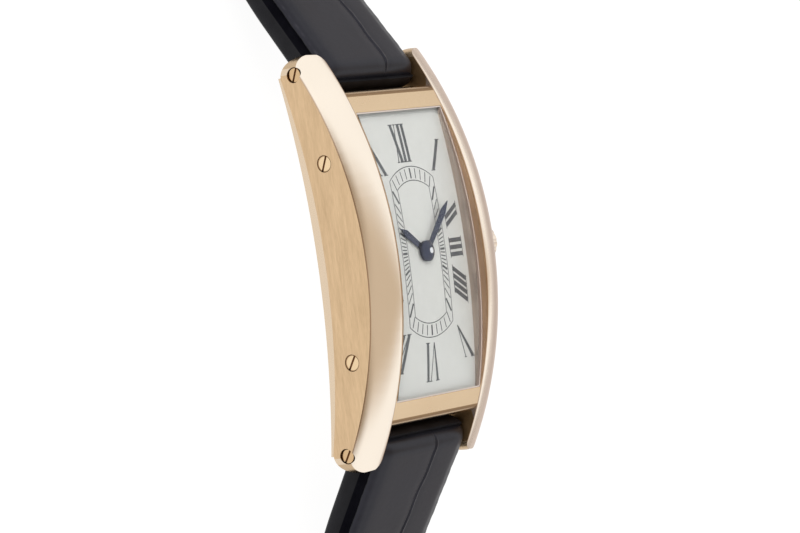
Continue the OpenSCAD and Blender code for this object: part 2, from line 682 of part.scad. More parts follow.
module pallet_bridge() color(rhodium) on_head() difference() {
    union() {
        at(pallet_at, pallet_bridge_z) rotate(pallet_foot_a) translate([-0.6, -0.6, 0])
            cube([pallet_foot + 1.1, 1.2, 0.14]);
        at(pallet_at) pillar(polar(pallet_foot, pallet_foot_a), pallet_bridge_z + touch, plate_bot, 0.5);
    }
    at(pallet_at, -9) cylinder(h = 9, r = pivot_r + run);
}
module balance_cock() color(rhodium) on_head() difference() {
    at(balance_at, cock_top - cock_t) {
        cylinder(h = cock_t, r = 1.1);
        rotate(cock_a) translate([0, -0.9, 0]) cube([balance_r + 1.05, 1.8, cock_t]);
        rotate(cock_a) translate([balance_r + 0.2, -0.9, 0])
            cube([0.85, 1.8, plate_bot - touch - cock_top + cock_t]);
    }
    at(balance_at, -9) cylinder(h = 9, r = jewel_r + touch);
}
module jewel(p, z0, z1) at(p, z0) difference() {
    cylinder(h = z1 - z0, r = jewel_r);
    translate([0, 0, -over]) cylinder(h = z1 - z0 + 2 * over, r = pivot_r + run);
}
module jewels() color(ruby) on_head() {
    for (p = main_spots) jewel(p, plate_bot, plate_bot + 0.3);
    for (p = [third_at, fourth_at, escape_at, [0, 0]]) jewel(p, bridge_bot, bridge_bot + 0.3);
    jewel(balance_at, cock_top - cock_t, cock_top - cock_t + 0.3);
}
module movement_screws() color("#4b5a8c") on_head()
    for (p = concat(barrel_feet, [train_foot])) at(p, bridge_bot) {
    translate([0, 0, -0.2]) cylinder(h = 0.2 - touch, r = 0.5);
    translate([0, 0, -0.1]) cylinder(h = bridge_t + train_h + 0.1 - touch, r = foot_screw_r);
}

// Power and winding wheels
barrel_r = barrel_n * barrel_m / 2;
module barrel() color(brass_c) on_head() at(barrel_at, barrel_z) difference() {
    union() {
        gear(barrel_n, barrel_m, 0.2);
        cylinder(h = barrel_h, r = barrel_r - 1.3 * barrel_m);
    }
    translate([0, 0, 0.15]) cylinder(h = barrel_h - 0.3, r = barrel_r - 0.45);
    translate([0, 0, -over]) cylinder(h = 4, r = barrel_arbor_r + run);
}
module mainspring() color("#9aa0a8") on_head() at(barrel_at, barrel_z + 0.17)
    spiral(barrel_arbor_r + gap, barrel_r - 0.6, 7, 0.1, barrel_h - 0.34);
module barrel_arbor() color(steel) on_head() at(barrel_at, ratchet_z - 0.1)
    cylinder(h = plate_bot + 0.4 - ratchet_z, r = barrel_arbor_r);
module ratchet_wheel() color(steel) on_head() at(barrel_at, ratchet_z)
    gear(ratchet_n, ratchet_m, ratchet_t, barrel_arbor_r + touch);
// Two wheels on one hub: the outer one turns the ratchet wheel, the inner one faces the winding pinion
module crown_wheel() color(steel) on_head() at(crown_wheel_at) {
    translate([0, 0, ratchet_z]) rotate(mesh_turn(crown_wheel_a, ratchet_n, crown_wheel_n))
        gear(crown_wheel_n, ratchet_m, ratchet_t);
    translate([0, 0, ratchet_z + touch]) cylinder(h = contrate_z - ratchet_z, r = crown_wheel_hub);
    translate([0, 0, contrate_z]) cylinder(h = contrate_t, r = contrate_r);
}
module click() color(steel) on_head() at(barrel_at, ratchet_z) rotate(click_a)
    translate([ratchet_n * ratchet_m / 2 + 0.25, -0.3, 0]) cube([1.1, 0.6, bridge_bot - ratchet_z - touch]);

// Going train. A pinion and its wheel share an arbor
module arbor(z0, z1) {
    translate([0, 0, z0]) cylinder(h = z1 - z0, r = pivot_r);
    translate([0, 0, bridge_top + 0.03]) cylinder(h = train_h - 0.06, r = pivot_r + 0.04);
}
// Turn of a driven gear that sets its gap on a tooth of the driver, which lies in direction a from it
function mesh_turn(a, n_driver, n_driven) = a + 180 + 180 / n_driven + a * n_driver / n_driven;
module center_wheel() color(brass_c) on_head() {
    spoked(center_n, center_m, center_z, wheel_t, 0.7, 4);
    rotate(mesh_turn(barrel_a + 180, barrel_n, center_pinion_n)) at([0, 0], barrel_z - 0.02)
        gear(center_pinion_n, barrel_m, center_z - barrel_z + 0.04);
    translate([0, 0, bridge_bot + 0.05]) cylinder(h = 1, r = pivot_r);
    translate([0, 0, center_z]) cylinder(h = minute_hand_z - center_z, r = arbor_r);
}
module third_wheel() color(brass_c) on_head() at(third_at) {
    spoked(third_n, train_m, third_z, wheel_t, 0.4, 4);
    rotate(mesh_turn(third_a, center_n, third_pinion_n)) translate([0, 0, third_pinion_z])
        gear(third_pinion_n, center_m, 0.26);
    arbor(bridge_bot + 0.02, plate_bot + 0.28);
}
module fourth_wheel() color(brass_c) on_head() at(fourth_at) {
    spoked(fourth_n, train_m, fourth_z, wheel_t * 0.9, 0.4, 4);
    rotate(mesh_turn(fourth_a, third_n, fourth_pinion_n)) translate([0, 0, third_z - 0.03])
        gear(fourth_pinion_n, train_m, 0.26);
    arbor(bridge_bot + 0.02, plate_bot + 0.28);
}
module escape_wheel() color(steel) on_head() at(escape_at) {
    translate([0, 0, escape_z]) linear_extrude(0.12) difference() {
        polygon([for (i = [0 : escape_n - 1]) for (k = [[0, 1], [0.22, 0.8], [0.75, 0.78]])
            polar(escape_r * k[1], (i + k[0]) * 360 / escape_n)]);
        difference() {
            circle(escape_r * 0.62);
            circle(0.35);
            for (a = [0 : 3]) rotate(a * 90) translate([0, -0.08]) square([escape_r, 0.16]);
        }
    }
    rotate(mesh_turn(escape_a, fourth_n, escape_pinion_n)) translate([0, 0, fourth_z - 0.05])
        gear(escape_pinion_n, train_m, 0.24);
    arbor(bridge_bot + 0.02, plate_bot + 0.28);
}
module pallet_fork() color(steel) on_head() at(pallet_at) {
    translate([0, 0, escape_z]) linear_extrude(0.12) {
        circle(0.35);
        rotate(fork_a) translate([0, -0.14]) square([fork_l - 0.25, 0.28]);
        rotate(fork_a) translate([fork_l - 0.45, -0.3]) square([0.22, 0.6]);
        for (a = [54, 186]) rotate(a) translate([0, -0.13]) square([1.05, 0.26]);
    }
    translate([0, 0, pallet_bridge_z + 0.02]) cylinder(h = plate_bot + 0.25 - pallet_bridge_z, r = pivot_r);
}
module balance_wheel() color(brass_c) on_head() at(balance_at) {
    translate([0, 0, balance_z]) difference() {
        cylinder(h = wheel_t + 0.05, r = balance_r);
        translate([0, 0, -over]) difference() {
            cylinder(h = 4, r = balance_r - 0.35);
            cylinder(h = 4, r = 0.4);
            for (a = [0, 120, 240]) rotate(a) translate([0, -0.16, 0]) cube([balance_r, 0.32, 4]);
        }
    }
    translate([0, 0, cock_top - cock_t + 0.02])
        cylinder(h = plate_bot + 0.26 - cock_top + cock_t, r = pivot_r);
    translate([0, 0, escape_z - 0.05]) cylinder(h = 0.12, r = 0.5);
}
module hairspring() color("#5868a0") on_head() at(balance_at, hair_z) spiral(0.3, 1.7, 8, 0.05, 0.1, 18);

// Motion work and hands
module cannon_pinion() color(steel) on_head() difference() {
    union() {
        translate([0, 0, plate_top + 0.05]) gear(cannon_n, motion_m, 0.42);
        translate([0, 0, plate_top + 0.05]) cylinder(h = minute_hand_z - plate_top - 0.06, r = cannon_r);
    }
    translate([0, 0, -9]) cylinder(h = 12, r = arbor_r + 0.02);
}
module minute_wheel() color(brass_c) on_head() at(minute_at) {
    rotate(mesh_turn(minute_dir, cannon_n, minute_n)) translate([0, 0, plate_top + 0.1])
        gear(minute_n, motion_m, 0.15);
    translate([0, 0, plate_top + 0.1]) gear(minute_pinion_n, motion_m, 0.62);
    translate([0, 0, plate_top - 0.4]) cylinder(h = 0.9, r = post_r);
}
module hour_wheel() color(brass_c) on_head() difference() {
    union() {
        rotate(mesh_turn(minute_dir + 180, minute_pinion_n, hour_n)) translate([0, 0, hour_z])
            gear(hour_n, motion_m, 0.15);
        translate([0, 0, hour_z]) cylinder(h = hour_hand_z - hour_z - touch, r = hour_pipe_r);
    }
    translate([0, 0, -9]) cylinder(h = 12, r = cannon_r + run);
}
// Sword hand: widest a third of the way out, with a round eye
module sword(l, eye, hole) linear_extrude(hand_t) difference() {
    union() {
        circle(eye);
        polygon([[0, -hand_w * 0.34], [l * 0.8, -hand_w / 2], [l, 0], [l * 0.8, hand_w / 2],
            [0, hand_w * 0.34]]);
    }
    circle(hole);
}
module hour_hand() color(blued) on_head() translate([0, 0, hour_hand_z]) rotate(hour_a)
    sword(hour_l, cap_r, cannon_r + run);
module minute_hand() color(blued) on_head() translate([0, 0, minute_hand_z]) rotate(minute_a)
    sword(minute_l, cap_r, arbor_r + 0.02);
module hand_cap() color(blued) on_head() translate([0, 0, cap_z + touch]) rotate_extrude() intersection() {
    square([cap_r, 1]);
    translate([0, 0.42 - 1.6]) circle(1.6, $fn = 96);
}

// Strap
module strap_half(l, tail) {
    stops = strap_stops(l, tail);
    steps = len(stops) - 1;
    n = len(strap_section(1, 1, 1));
    points = [for (s = stops) let (p = strap_at(s))
        for (q = strap_section(strap_wide(s) * (tail ? tail_share(s, l) : 1), strap_thick(s),
                strap_crown * (1 - strap_share(s))))
            [q[0], p[0] + q[1] * sin(p[2]), p[1] + q[1] * cos(p[2])]];
    walls = [for (i = [0 : steps - 1]) for (j = [0 : n - 1]) let (a = i * n + j, b = i * n + (j + 1) % n)
        each [[a, b, b + n], [a, b + n, a + n]]];
    caps = [[for (j = [n - 1 : -1 : 0]) j], [for (j = [0 : n - 1]) steps * n + j]];
    difference() {
        union() {
            polyhedron(points, concat(walls, caps), convexity = 8);
            translate([0, bar_y, pivot_z]) rod_x(-strap_w / 2, strap_w / 2, loop_r);
            if (!tail) translate([0, strap_end_y, ear_r]) rod_x(-strap_w_end / 2, strap_w_end / 2, end_loop_r);
        }
        translate([0, bar_y, pivot_z]) rod_x(-strap_w, strap_w, bar_r + 0.05);
        if (tail) for (k = [0 : hole_count - 1])
            translate([0, bend_at[0] + hole_first - k * hole_step - bend_end, -over])
                cylinder(h = strap_t + 2 * over, r = hole_r);
        else translate([0, strap_end_y, ear_r]) rod_x(-strap_w, strap_w, end_bar_r + touch);
    }
}
module strap_12() color(black_leather) on_table() strap_half(strap_12_l, true);
module strap_6() color(black_leather) on_table() mirror([0, 1, 0]) strap_half(strap_6_l, false);

// Folding clasp
module shell(r0, r1, y0, y1, w) intersection() {
    translate([0, 0, clasp_z]) difference() {
        rod_x(-w / 2, w / 2, r1, $fn = 360);
        rod_x(-w, w, r0, $fn = 360);
    }
    translate([-w, y0, -over]) cube([2 * w, y1 - y0, 12]);
}
// Ear beside the strap's end: a rounded plate from the leaf to the bar
module ear(s, r0, r1, y_from) both_sides() translate([ear_x, 0, 0]) difference() {
    union() {
        intersection() {
            translate([0, 0, clasp_z]) difference() {
                rod_x(0, ear_t, r1, $fn = 360);
                rod_x(-over, ear_t + over, r0, $fn = 360);
            }
            translate([-over, min(s * y_from, s * clasp_half), -over]) cube([4, clasp_half - y_from, 14]);
        }
        translate([0, s * clasp_half, end_z]) rod_x(0, ear_t, ear_r);
    }
}
module knuckle(at, x0, x1) translate([0, at[0], at[1]]) rod_x(x0, x1, knuckle_r);
module pin_hole(at, r) translate([0, at[0], at[1]]) rod_x(-9, 9, r);
knuckle_x = leaf_w / 2 - 2;
module clasp_bar(s) translate([0, s * clasp_half, end_z])
    rod_x(-ear_x - ear_t + 0.1, ear_x + ear_t - 0.1, end_bar_r);
// The tail folds over the bar at 12 o'clock when the clasp is closed
module clasp_bar_12() color(steel) on_clasp() clasp_bar(1);
module clasp_bar_6() color(steel) on_clasp() clasp_bar(-1);
module clasp_inner_leaf() color(gold) on_clasp() difference() {
    union() {
        difference() {
            shell(leaf_r[0], leaf_r[1], -clasp_half + 2.2, hinge_y, leaf_w);
            translate([0, hinge_b[0], hinge_b[1]]) both_sides() rod_x(knuckle_x - 0.05, 9, knuckle_r + 0.1);
        }
        shell(leaf_r[0], leaf_r[1], -clasp_half + 2.2, -clasp_half + 4, 2 * (ear_x + ear_t));
        ear(-1, leaf_r[0], leaf_r[1], clasp_half - 4);
        knuckle(hinge_b, -knuckle_x, knuckle_x);
    }
    pin_hole(hinge_b, pin_r + 0.02);
    translate([0, -clasp_half, end_z]) rod_x(-20, 20, end_bar_r + run);
    translate([0, -clasp_half, end_z]) rod_x(-ear_x + 0.01, ear_x - 0.01, end_loop_r + 0.3);
}
module clasp_middle_leaf() color(gold_light) on_clasp() difference() {
    union() {
        difference() {
            shell(leaf_r[2], leaf_r[3], -hinge_y, hinge_y, leaf_w);
            translate([0, hinge_b[0], hinge_b[1]]) rod_x(-knuckle_x - 0.05, knuckle_x + 0.05, knuckle_r + 0.1);
            translate([0, hinge_a[0], hinge_a[1]]) both_sides() rod_x(knuckle_x - 0.05, 9, knuckle_r + 0.1);
        }
        both_sides() knuckle(hinge_b, knuckle_x + 0.05, leaf_w / 2);
        knuckle(hinge_a, -knuckle_x + 0.05, knuckle_x - 0.05);
    }
    pin_hole(hinge_b, pin_r + 0.02);
    pin_hole(hinge_a, pin_r + 0.02);
}
module clasp_cover() color(gold) on_clasp() difference() {
    union() {
        difference() {
            shell(leaf_r[4], leaf_r[5], -hinge_y, clasp_half - 2, 2 * (ear_x + ear_t));
            translate([0, hinge_a[0], hinge_a[1]]) rod_x(-knuckle_x, knuckle_x, knuckle_r + 0.1);
        }
        ear(1, leaf_r[4], leaf_r[5], clasp_half - 4);
        both_sides() knuckle(hinge_a, knuckle_x, leaf_w / 2);
    }
    pin_hole(hinge_a, pin_r + 0.02);
    translate([0, clasp_half, end_z]) rod_x(-20, 20, end_bar_r + run);
    translate([0, clasp_half, end_z]) rod_x(-ear_x + 0.01, ear_x - 0.01, end_loop_r + 0.3);
}
module hinge_pin_a() color(steel) on_clasp() translate([0, hinge_a[0], hinge_a[1]])
    rod_x(-leaf_w / 2, leaf_w / 2, pin_r);
module hinge_pin_b() color(steel) on_clasp() translate([0, hinge_b[0], hinge_b[1]])
    rod_x(-leaf_w / 2, leaf_w / 2, pin_r);

case_front();
case_back();
back_gasket();
crystal();
crystal_gasket();
dial();
movement_holder();
crown_tube();
case_screws();
bar_screws();
strap_bar_12();
strap_bar_6();
crown();
cabochon();
stem();
winding_pinion();
setting_lever();
main_plate();
barrel_bridge();
train_bridge();
pallet_bridge();
balance_cock();
jewels();
movement_screws();
barrel();
mainspring();
barrel_arbor();
ratchet_wheel();
crown_wheel();
click();
center_wheel();
third_wheel();
fourth_wheel();
escape_wheel();
pallet_fork();
balance_wheel();
hairspring();
cannon_pinion();
minute_wheel();
hour_wheel();
hour_hand();
minute_hand();
hand_cap();
strap_12();
strap_6();
clasp_bar_12();
clasp_bar_6();
clasp_inner_leaf();
clasp_middle_leaf();
clasp_cover();
hinge_pin_a();
hinge_pin_b();
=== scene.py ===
# Curved rectangular dress watch in gold, on a padded leather strap with a folding clasp.
# The strap is open and lies on a white table. Sizes are in millimetres unless a name ends with _m.
import math
import bpy
import bmesh
import numpy as np
from mathutils import Matrix, Vector


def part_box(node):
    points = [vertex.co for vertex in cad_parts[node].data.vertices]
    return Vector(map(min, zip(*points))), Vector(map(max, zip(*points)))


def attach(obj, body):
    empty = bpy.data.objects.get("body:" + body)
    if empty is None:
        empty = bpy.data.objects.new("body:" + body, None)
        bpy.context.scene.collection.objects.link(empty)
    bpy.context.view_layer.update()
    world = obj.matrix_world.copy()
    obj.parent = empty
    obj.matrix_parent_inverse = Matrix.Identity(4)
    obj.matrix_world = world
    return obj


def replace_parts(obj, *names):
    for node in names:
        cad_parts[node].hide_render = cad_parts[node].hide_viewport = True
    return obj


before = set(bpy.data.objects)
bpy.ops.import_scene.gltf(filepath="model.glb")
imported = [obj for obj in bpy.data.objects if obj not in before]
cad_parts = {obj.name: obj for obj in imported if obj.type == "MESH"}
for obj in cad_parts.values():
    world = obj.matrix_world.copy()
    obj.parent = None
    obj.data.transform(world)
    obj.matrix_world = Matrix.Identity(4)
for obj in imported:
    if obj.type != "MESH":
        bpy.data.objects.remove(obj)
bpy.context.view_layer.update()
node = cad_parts

# Camera
# It looks down on the dial from the 9 o'clock side through a long lens, with 12 o'clock upwards.
# The head is the case. Its own heights start at the flank's front edge at mid length, and the dial's
# middle lies 1 mm under that.
dial_deep = 1.0
eye, lens, film_w, near_m, far_m = (-311.448, 1.125, 217.029), 170.91, 36, 0.01, 30
look, upright = Vector((0.815475, -0.006058, -0.578761)), Vector((0.085421, 0.990255, 0.109994))


def middle_of(name):
    return [round((low + high) * 500, 4) for low, high in zip(*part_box(name))]


head_y = middle_of("case_front")[1]
head_z = round(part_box("dial")[1].z * 1000 + dial_deep, 4)


def on_head(x, y, z):
    return (x / 1000, (y + head_y) / 1000, (z + head_z) / 1000)


def put_in(name, data):
    made = bpy.data.objects.new(name, data)
    bpy.context.scene.collection.objects.link(made)
    return made


camera = put_in("camera", bpy.data.cameras.new("camera"))
side = look.cross(upright).normalized()
turn = Matrix((side, side.cross(look).normalized(), -look)).transposed()
camera.matrix_world = Matrix.Translation(on_head(*eye)) @ turn.to_4x4()
camera.data.lens, camera.data.sensor_width = lens, film_w
camera.data.clip_start, camera.data.clip_end = near_m, far_m
bpy.context.scene.camera = camera
bpy.context.scene.view_settings.view_transform = "Standard"

# White room and table
# A white room lights the watch evenly, and a white table keeps its faint shadow.
# Seen straight, in polish or through glass, both are plain white.
room_light, table_light, table_grey, shadow_grey = 0.8, 0.94, 0.9, 0.13
table_half_m, table_top_m = 4, -0.00004


def wire(tree, *links):
    for source, target in links:
        tree.links.new(source, target)


def empty_tree(owner, out_kind):
    owner.use_nodes = True
    owner.node_tree.nodes.clear()
    return owner.node_tree, owner.node_tree.nodes.new(out_kind)


def glow(tree, kind, colour, strength):
    made = tree.nodes.new(kind)
    made.inputs["Color"].default_value, made.inputs["Strength"].default_value = colour + (1,), strength
    return made


def matt(tree, grey):
    made = tree.nodes.new("ShaderNodeBsdfDiffuse")
    made.inputs["Color"].default_value = (grey, grey, grey, 1)
    return made


def pick_by_ray(tree, lighting, seen, out):
    """Rays that show the surface, straight, in polish or through glass, get the seen shader."""
    path, pick = tree.nodes.new("ShaderNodeLightPath"), tree.nodes.new("ShaderNodeMixShader")
    share = path.outputs["Is Camera Ray"]
    for name in ("Is Glossy Ray", "Is Transmission Ray"):
        larger = tree.nodes.new("ShaderNodeMath")
        larger.operation = "MAXIMUM"
        wire(tree, (share, larger.inputs[0]), (path.outputs[name], larger.inputs[1]))
        share = larger.outputs[0]
    wire(tree, (share, pick.inputs[0]), (lighting.outputs[0], pick.inputs[1]),
         (seen.outputs[0], pick.inputs[2]), (pick.outputs[0], out.inputs[0]))


room = bpy.data.worlds.new("white_room")
bpy.context.scene.world = room
t, out = empty_tree(room, "ShaderNodeOutputWorld")
pick_by_ray(t, glow(t, "ShaderNodeBackground", (1, 0.995, 0.985), room_light),
            glow(t, "ShaderNodeBackground", (1, 1, 1), 1), out)

table_white = bpy.data.materials.new("table_white")
t, out = empty_tree(table_white, "ShaderNodeOutputMaterial")
glowing = t.nodes.new("ShaderNodeAddShader")
wire(t, (matt(t, shadow_grey).outputs[0], glowing.inputs[0]),
     (glow(t, "ShaderNodeEmission", (1, 1, 1), table_light).outputs[0], glowing.inputs[1]))
pick_by_ray(t, matt(t, table_grey), glowing, out)


def board(name, corners, material):
    mesh = bpy.data.meshes.new(name)
    mesh.from_pydata(corners, [], [tuple(range(len(corners)))])
    mesh.materials.append(material)
    made = put_in(name, mesh)
    return made


def level(half_x, half_y, z):
    return [(-half_x, -half_y, z), (half_x, -half_y, z), (half_x, half_y, z), (-half_x, half_y, z)]


board("table", level(table_half_m, table_half_m, table_top_m), table_white)

# Cards and lamp
# A broad card hangs over the watch, white with a tan diamond and two brown spots, so that the polish
# shows soft bands. A grey card stands beyond the 3 o'clock side, and a broad lamp lights the edges.
card_half_m, card_up_m = (2, 1.2), 0.6
diamond_m, diamond_half_m, spots_m, spot_apart_m = (-0.33, -0.12), (1.7, 0.44), (-0.46, -0.16), 0.36
grey_x_m, grey_half_m, grey_foot_m, grey_fade_m, grey_top_m = 0.25, 0.6, -0.00002, 0.075, 0.12
lamp_m, lamp_power, lamp_size_m = (-0.9, 0.6, 0.8), 5, 0.5
white = (1, 1, 1, 1)


def feed(tree, socket, value):
    """A number or a colour is set, and another node's output is wired."""
    if isinstance(value, (int, float, tuple)):
        socket.default_value = value
    else:
        wire(tree, (value, socket))


def number(tree, kind, *values):
    made = tree.nodes.new("ShaderNodeMath")
    made.operation = kind
    for socket, value in zip(made.inputs, values):
        feed(tree, socket, value)
    return made.outputs[0]


def blend_colour(tree, share, a, b):
    made = tree.nodes.new("ShaderNodeMix")
    made.data_type = "RGBA"
    for i, value in ((0, share), (6, a), (7, b)):
        feed(tree, made.inputs[i], value)
    return made.outputs[2]


def soft_step(tree, value, start, end, low=0.0, high=1.0):
    made = tree.nodes.new("ShaderNodeMapRange")
    made.interpolation_type = "SMOOTHSTEP"
    made.inputs["From Min"].default_value, made.inputs["From Max"].default_value = start, end
    made.inputs["To Min"].default_value, made.inputs["To Max"].default_value = low, high
    wire(tree, (value, made.inputs["Value"]))
    return made.outputs["Result"]


def long_side(tree, a, b):
    squares = number(tree, "ADD", number(tree, "MULTIPLY", a, a), number(tree, "MULTIPLY", b, b))
    return number(tree, "SQRT", squares)


def own_place(tree):
    place, parts = tree.nodes.new("ShaderNodeTexCoord"), tree.nodes.new("ShaderNodeSeparateXYZ")
    wire(tree, (place.outputs["Object"], parts.inputs[0]))
    return parts.outputs["X"], parts.outputs["Y"], parts.outputs["Z"]


def card_light(name):
    made = bpy.data.materials.new(name)
    tree, out = empty_tree(made, "ShaderNodeOutputMaterial")
    face = tree.nodes.new("ShaderNodeEmission")
    wire(tree, (face.outputs[0], out.inputs[0]))
    return made, tree, face.inputs["Color"]


card_tan, t, card_colour = card_light("card_tan")
card_x, card_y, _ = own_place(t)
shares = []
for at, middle, half in zip((card_x, card_y), diamond_m, diamond_half_m):
    shares.append(number(t, "DIVIDE", number(t, "ABSOLUTE", number(t, "SUBTRACT", at, middle)), half))
diamond = number(t, "ADD", *shares)
tans = blend_colour(t, soft_step(t, diamond, 1.35, 0.5), white, (0.60, 0.50, 0.395, 1))
spot_x = number(t, "SUBTRACT", card_x, spots_m[0])
spot_y = number(t, "SUBTRACT", number(t, "ABSOLUTE", number(t, "SUBTRACT", card_y, spots_m[1])), spot_apart_m)
spots = soft_step(t, long_side(t, spot_x, spot_y), 0.4, 0.1)
wire(t, (blend_colour(t, spots, tans, (0.30, 0.22, 0.145, 1)), card_colour))
card = board("card", level(*card_half_m, 0), card_tan)
card.location = (0, head_y / 1000, card_up_m + head_z / 1000)

card_grey, t, card_colour = card_light("card_grey")
fade = soft_step(t, own_place(t)[2], grey_fade_m, grey_top_m)
wire(t, (blend_colour(t, fade, (0.56, 0.51, 0.50, 1), white), card_colour))
corners = [(grey_x_m, -grey_half_m, grey_foot_m), (grey_x_m, grey_half_m, grey_foot_m),
           (grey_x_m, grey_half_m, grey_top_m), (grey_x_m, -grey_half_m, grey_top_m)]
side_card = board("side_card", corners, card_grey)
for thing in (card, side_card):
    thing.visible_camera = thing.visible_diffuse = thing.visible_shadow = thing.visible_transmission = False

lamp = put_in("lamp", bpy.data.lights.new("lamp", "AREA"))
lamp.data.energy, lamp.data.size, lamp.data.color = lamp_power, lamp_size_m, (1, 0.97, 0.93)
lamp.location = lamp_m
lamp.rotation_euler = (Vector((0, head_y / 1000, 0.01)) - lamp.location).to_track_quat("-Z", "Y").to_euler()

# Case
# One gold body: two rounded polished rails joined by flat bars over and under the crystal.
# The flanks are brushed lengthwise, and a narrow polished bevel runs along their back edge.
half_w = round(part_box("case_front")[1].x * 1000, 4)
bar_y, bar_z = round(middle_of("strap_bar_12")[1] - head_y, 4), round(middle_of("strap_bar_12")[2] - head_z, 4)
rail_in, opening_y, bevel_w, slack, bar_slack, wall_slack = 7.55, 14.45, 0.4, 0.02, 0.05, 0.1
# Screw holes, whose walls get a painted dark brown shade: middles, radii, and the distance from the middle
# plane at which they end
case_screw_y, case_screw_z, case_hole_r, bar_hole_r, hole_bottom = 9.86, -3.32, 0.95, 0.85, 9.5
# Where the roundings of the end bars (in a painted dark reflection) and the tips (in painted shade) begin, and
# how far down end bars and walls reach
end_round_y, tip_y, end_bar_floor, wall_floor = 15.6, 17.5, -4, -3
# The walls turn from dull to a painted brown shade between two radii round the crystal's axis
crystal_axis_z, wall_shade_from_r, wall_shade_r = -51.6473, 52.15, 52.33
# Where the far rail's painted shade and its dullness begin and are full, and the same for the painted lines of
# shade, from the rail's edges
far_side_shade, far_rim_shade, far_dull = (8, 9.5), (9.8, 11.2), (7.8, 9)
outer_shade_line, inner_shade_line = (0.16, 0.02), (0.17, 0.03)


def group(name, ins, outs):
    tree = bpy.data.node_groups.new(name, "ShaderNodeTree")
    for label, kind, value in ins:
        socket = tree.interface.new_socket(name=label, in_out="INPUT", socket_type=kind)
        socket.default_value = value
    for label in outs:
        tree.interface.new_socket(name=label, in_out="OUTPUT", socket_type="NodeSocketFloat")
    return tree, tree.nodes.new("NodeGroupInput").outputs, tree.nodes.new("NodeGroupOutput").inputs


def noise(tree, place, scale, detail, distortion=0.0):
    made = tree.nodes.new("ShaderNodeTexNoise")
    made.inputs["Detail"].default_value, made.inputs["Distortion"].default_value = detail, distortion
    feed(tree, made.inputs["Scale"], scale)
    wire(tree, (place, made.inputs["Vector"]))
    return made.outputs["Fac"]


# Brushing: long fine scratches along one axis, as a height and a shade
brushing, given, result = group("brushing", [("Stretch", "NodeSocketVector", (1, 1, 1)),
                                             ("Scale", "NodeSocketFloat", 1.0)], ["Height", "Shade"])
place, spread = brushing.nodes.new("ShaderNodeTexCoord"), brushing.nodes.new("ShaderNodeVectorMath")
spread.operation = "MULTIPLY"
wire(brushing, (place.outputs["Object"], spread.inputs[0]), (given["Stretch"], spread.inputs[1]))
fine = noise(brushing, spread.outputs[0], given["Scale"], 4)
broad = noise(brushing, spread.outputs[0], number(brushing, "MULTIPLY", given["Scale"], 0.22), 3)
half_fine, half_broad = number(brushing, "MULTIPLY", fine, 0.5), number(brushing, "MULTIPLY", broad, 0.5)
wire(brushing, (fine, result["Height"]), (number(brushing, "ADD", half_fine, half_broad), result["Shade"]))

# Handling: faint cloudy smears and hairlines that polish picks up in use
handling, given, result = group("handling", [("Scale", "NodeSocketFloat", 1.0)], ["Smear", "Hairline"])
place = handling.nodes.new("ShaderNodeTexCoord")
smear = noise(handling, place.outputs["Object"], given["Scale"], 3)
hair = noise(handling, place.outputs["Object"], number(handling, "MULTIPLY", given["Scale"], 9), 2, 3.5)
wire(handling, (smear, result["Smear"]), (number(handling, "COMPARE", hair, 0.5, 0.006), result["Hairline"]))


def new_finish(name, metallic, roughness, **more):
    made = bpy.data.materials.new(name)
    made.use_nodes = True
    shader = made.node_tree.nodes["Principled BSDF"]
    shader.inputs["Metallic"].default_value = metallic
    shader.inputs["Roughness"].default_value = roughness
    for label, value in more.items():
        shader.inputs[label.replace("_", " ")].default_value = value
    return made, made.node_tree, shader


def use(tree, made, **values):
    placed = tree.nodes.new("ShaderNodeGroup")
    placed.node_tree = made
    for label, value in values.items():
        placed.inputs[label].default_value = value
    return placed.outputs


def span(tree, value, low, high):
    """Noise lies mostly between 0.3 and 0.7, and is spread from low to high."""
    made = tree.nodes.new("ShaderNodeMapRange")
    made.inputs["From Min"].default_value, made.inputs["From Max"].default_value = 0.3, 0.7
    made.inputs["To Min"].default_value, made.inputs["To Max"].default_value = low, high
    wire(tree, (value, made.inputs["Value"]))
    return made.outputs[0]


def bump(tree, shader, height, strength, distance_m):
    made = tree.nodes.new("ShaderNodeBump")
    made.inputs["Strength"].default_value, made.inputs["Distance"].default_value = strength, distance_m
    wire(tree, (height, made.inputs["Height"]), (made.outputs[0], shader.inputs["Normal"]))


def two_tones(tree, shader, share, dark, light):
    tones = blend_colour(tree, span(tree, share, 0, 1), dark + (1,), light + (1,))
    wire(tree, (tones, shader.inputs["Base Color"]))


def tone_over(tree, shader, share, colour):
    """Lays one more colour over the base colour, as far as share goes."""
    base = shader.inputs["Base Color"]
    wire(tree, (blend_colour(tree, share, base.links[0].from_socket, colour + (1,)), base))


def clouded(name, metallic, roughness, dark, light, scale, **more):
    """A finish in two tones that drift into each other, as handling leaves them."""
    made, tree, shader = new_finish(name, metallic, roughness, **more)
    marks = use(tree, handling, Scale=scale)
    two_tones(tree, shader, marks["Smear"], dark, light)
    return made, tree, shader, marks


def handled_roughness(tree, marks, low, high, hairline):
    return number(tree, "ADD", span(tree, marks["Smear"], low, high),
                  number(tree, "MULTIPLY", marks["Hairline"], hairline))


def polished(name, colour, roughness, scale=160.0):
    dim = tuple(c * 0.965 for c in colour)
    made, tree, shader, marks = clouded(name, 1, roughness, dim, colour, scale)
    wire(tree, (handled_roughness(tree, marks, roughness * 0.75, roughness * 1.25, 0.05),
                shader.inputs["Roughness"]))
    return made


def brushed(name, colour, dark, roughness, stretch, scale, depth_m):
    made, tree, shader = new_finish(name, 1, roughness)
    lines = use(tree, brushing, Stretch=stretch, Scale=scale)
    two_tones(tree, shader, lines["Shade"], dark, colour)
    wire(tree, (span(tree, lines["Shade"], roughness * 1.15, roughness * 0.85), shader.inputs["Roughness"]))
    bump(tree, shader, lines["Height"], 0.35, depth_m)
    return made


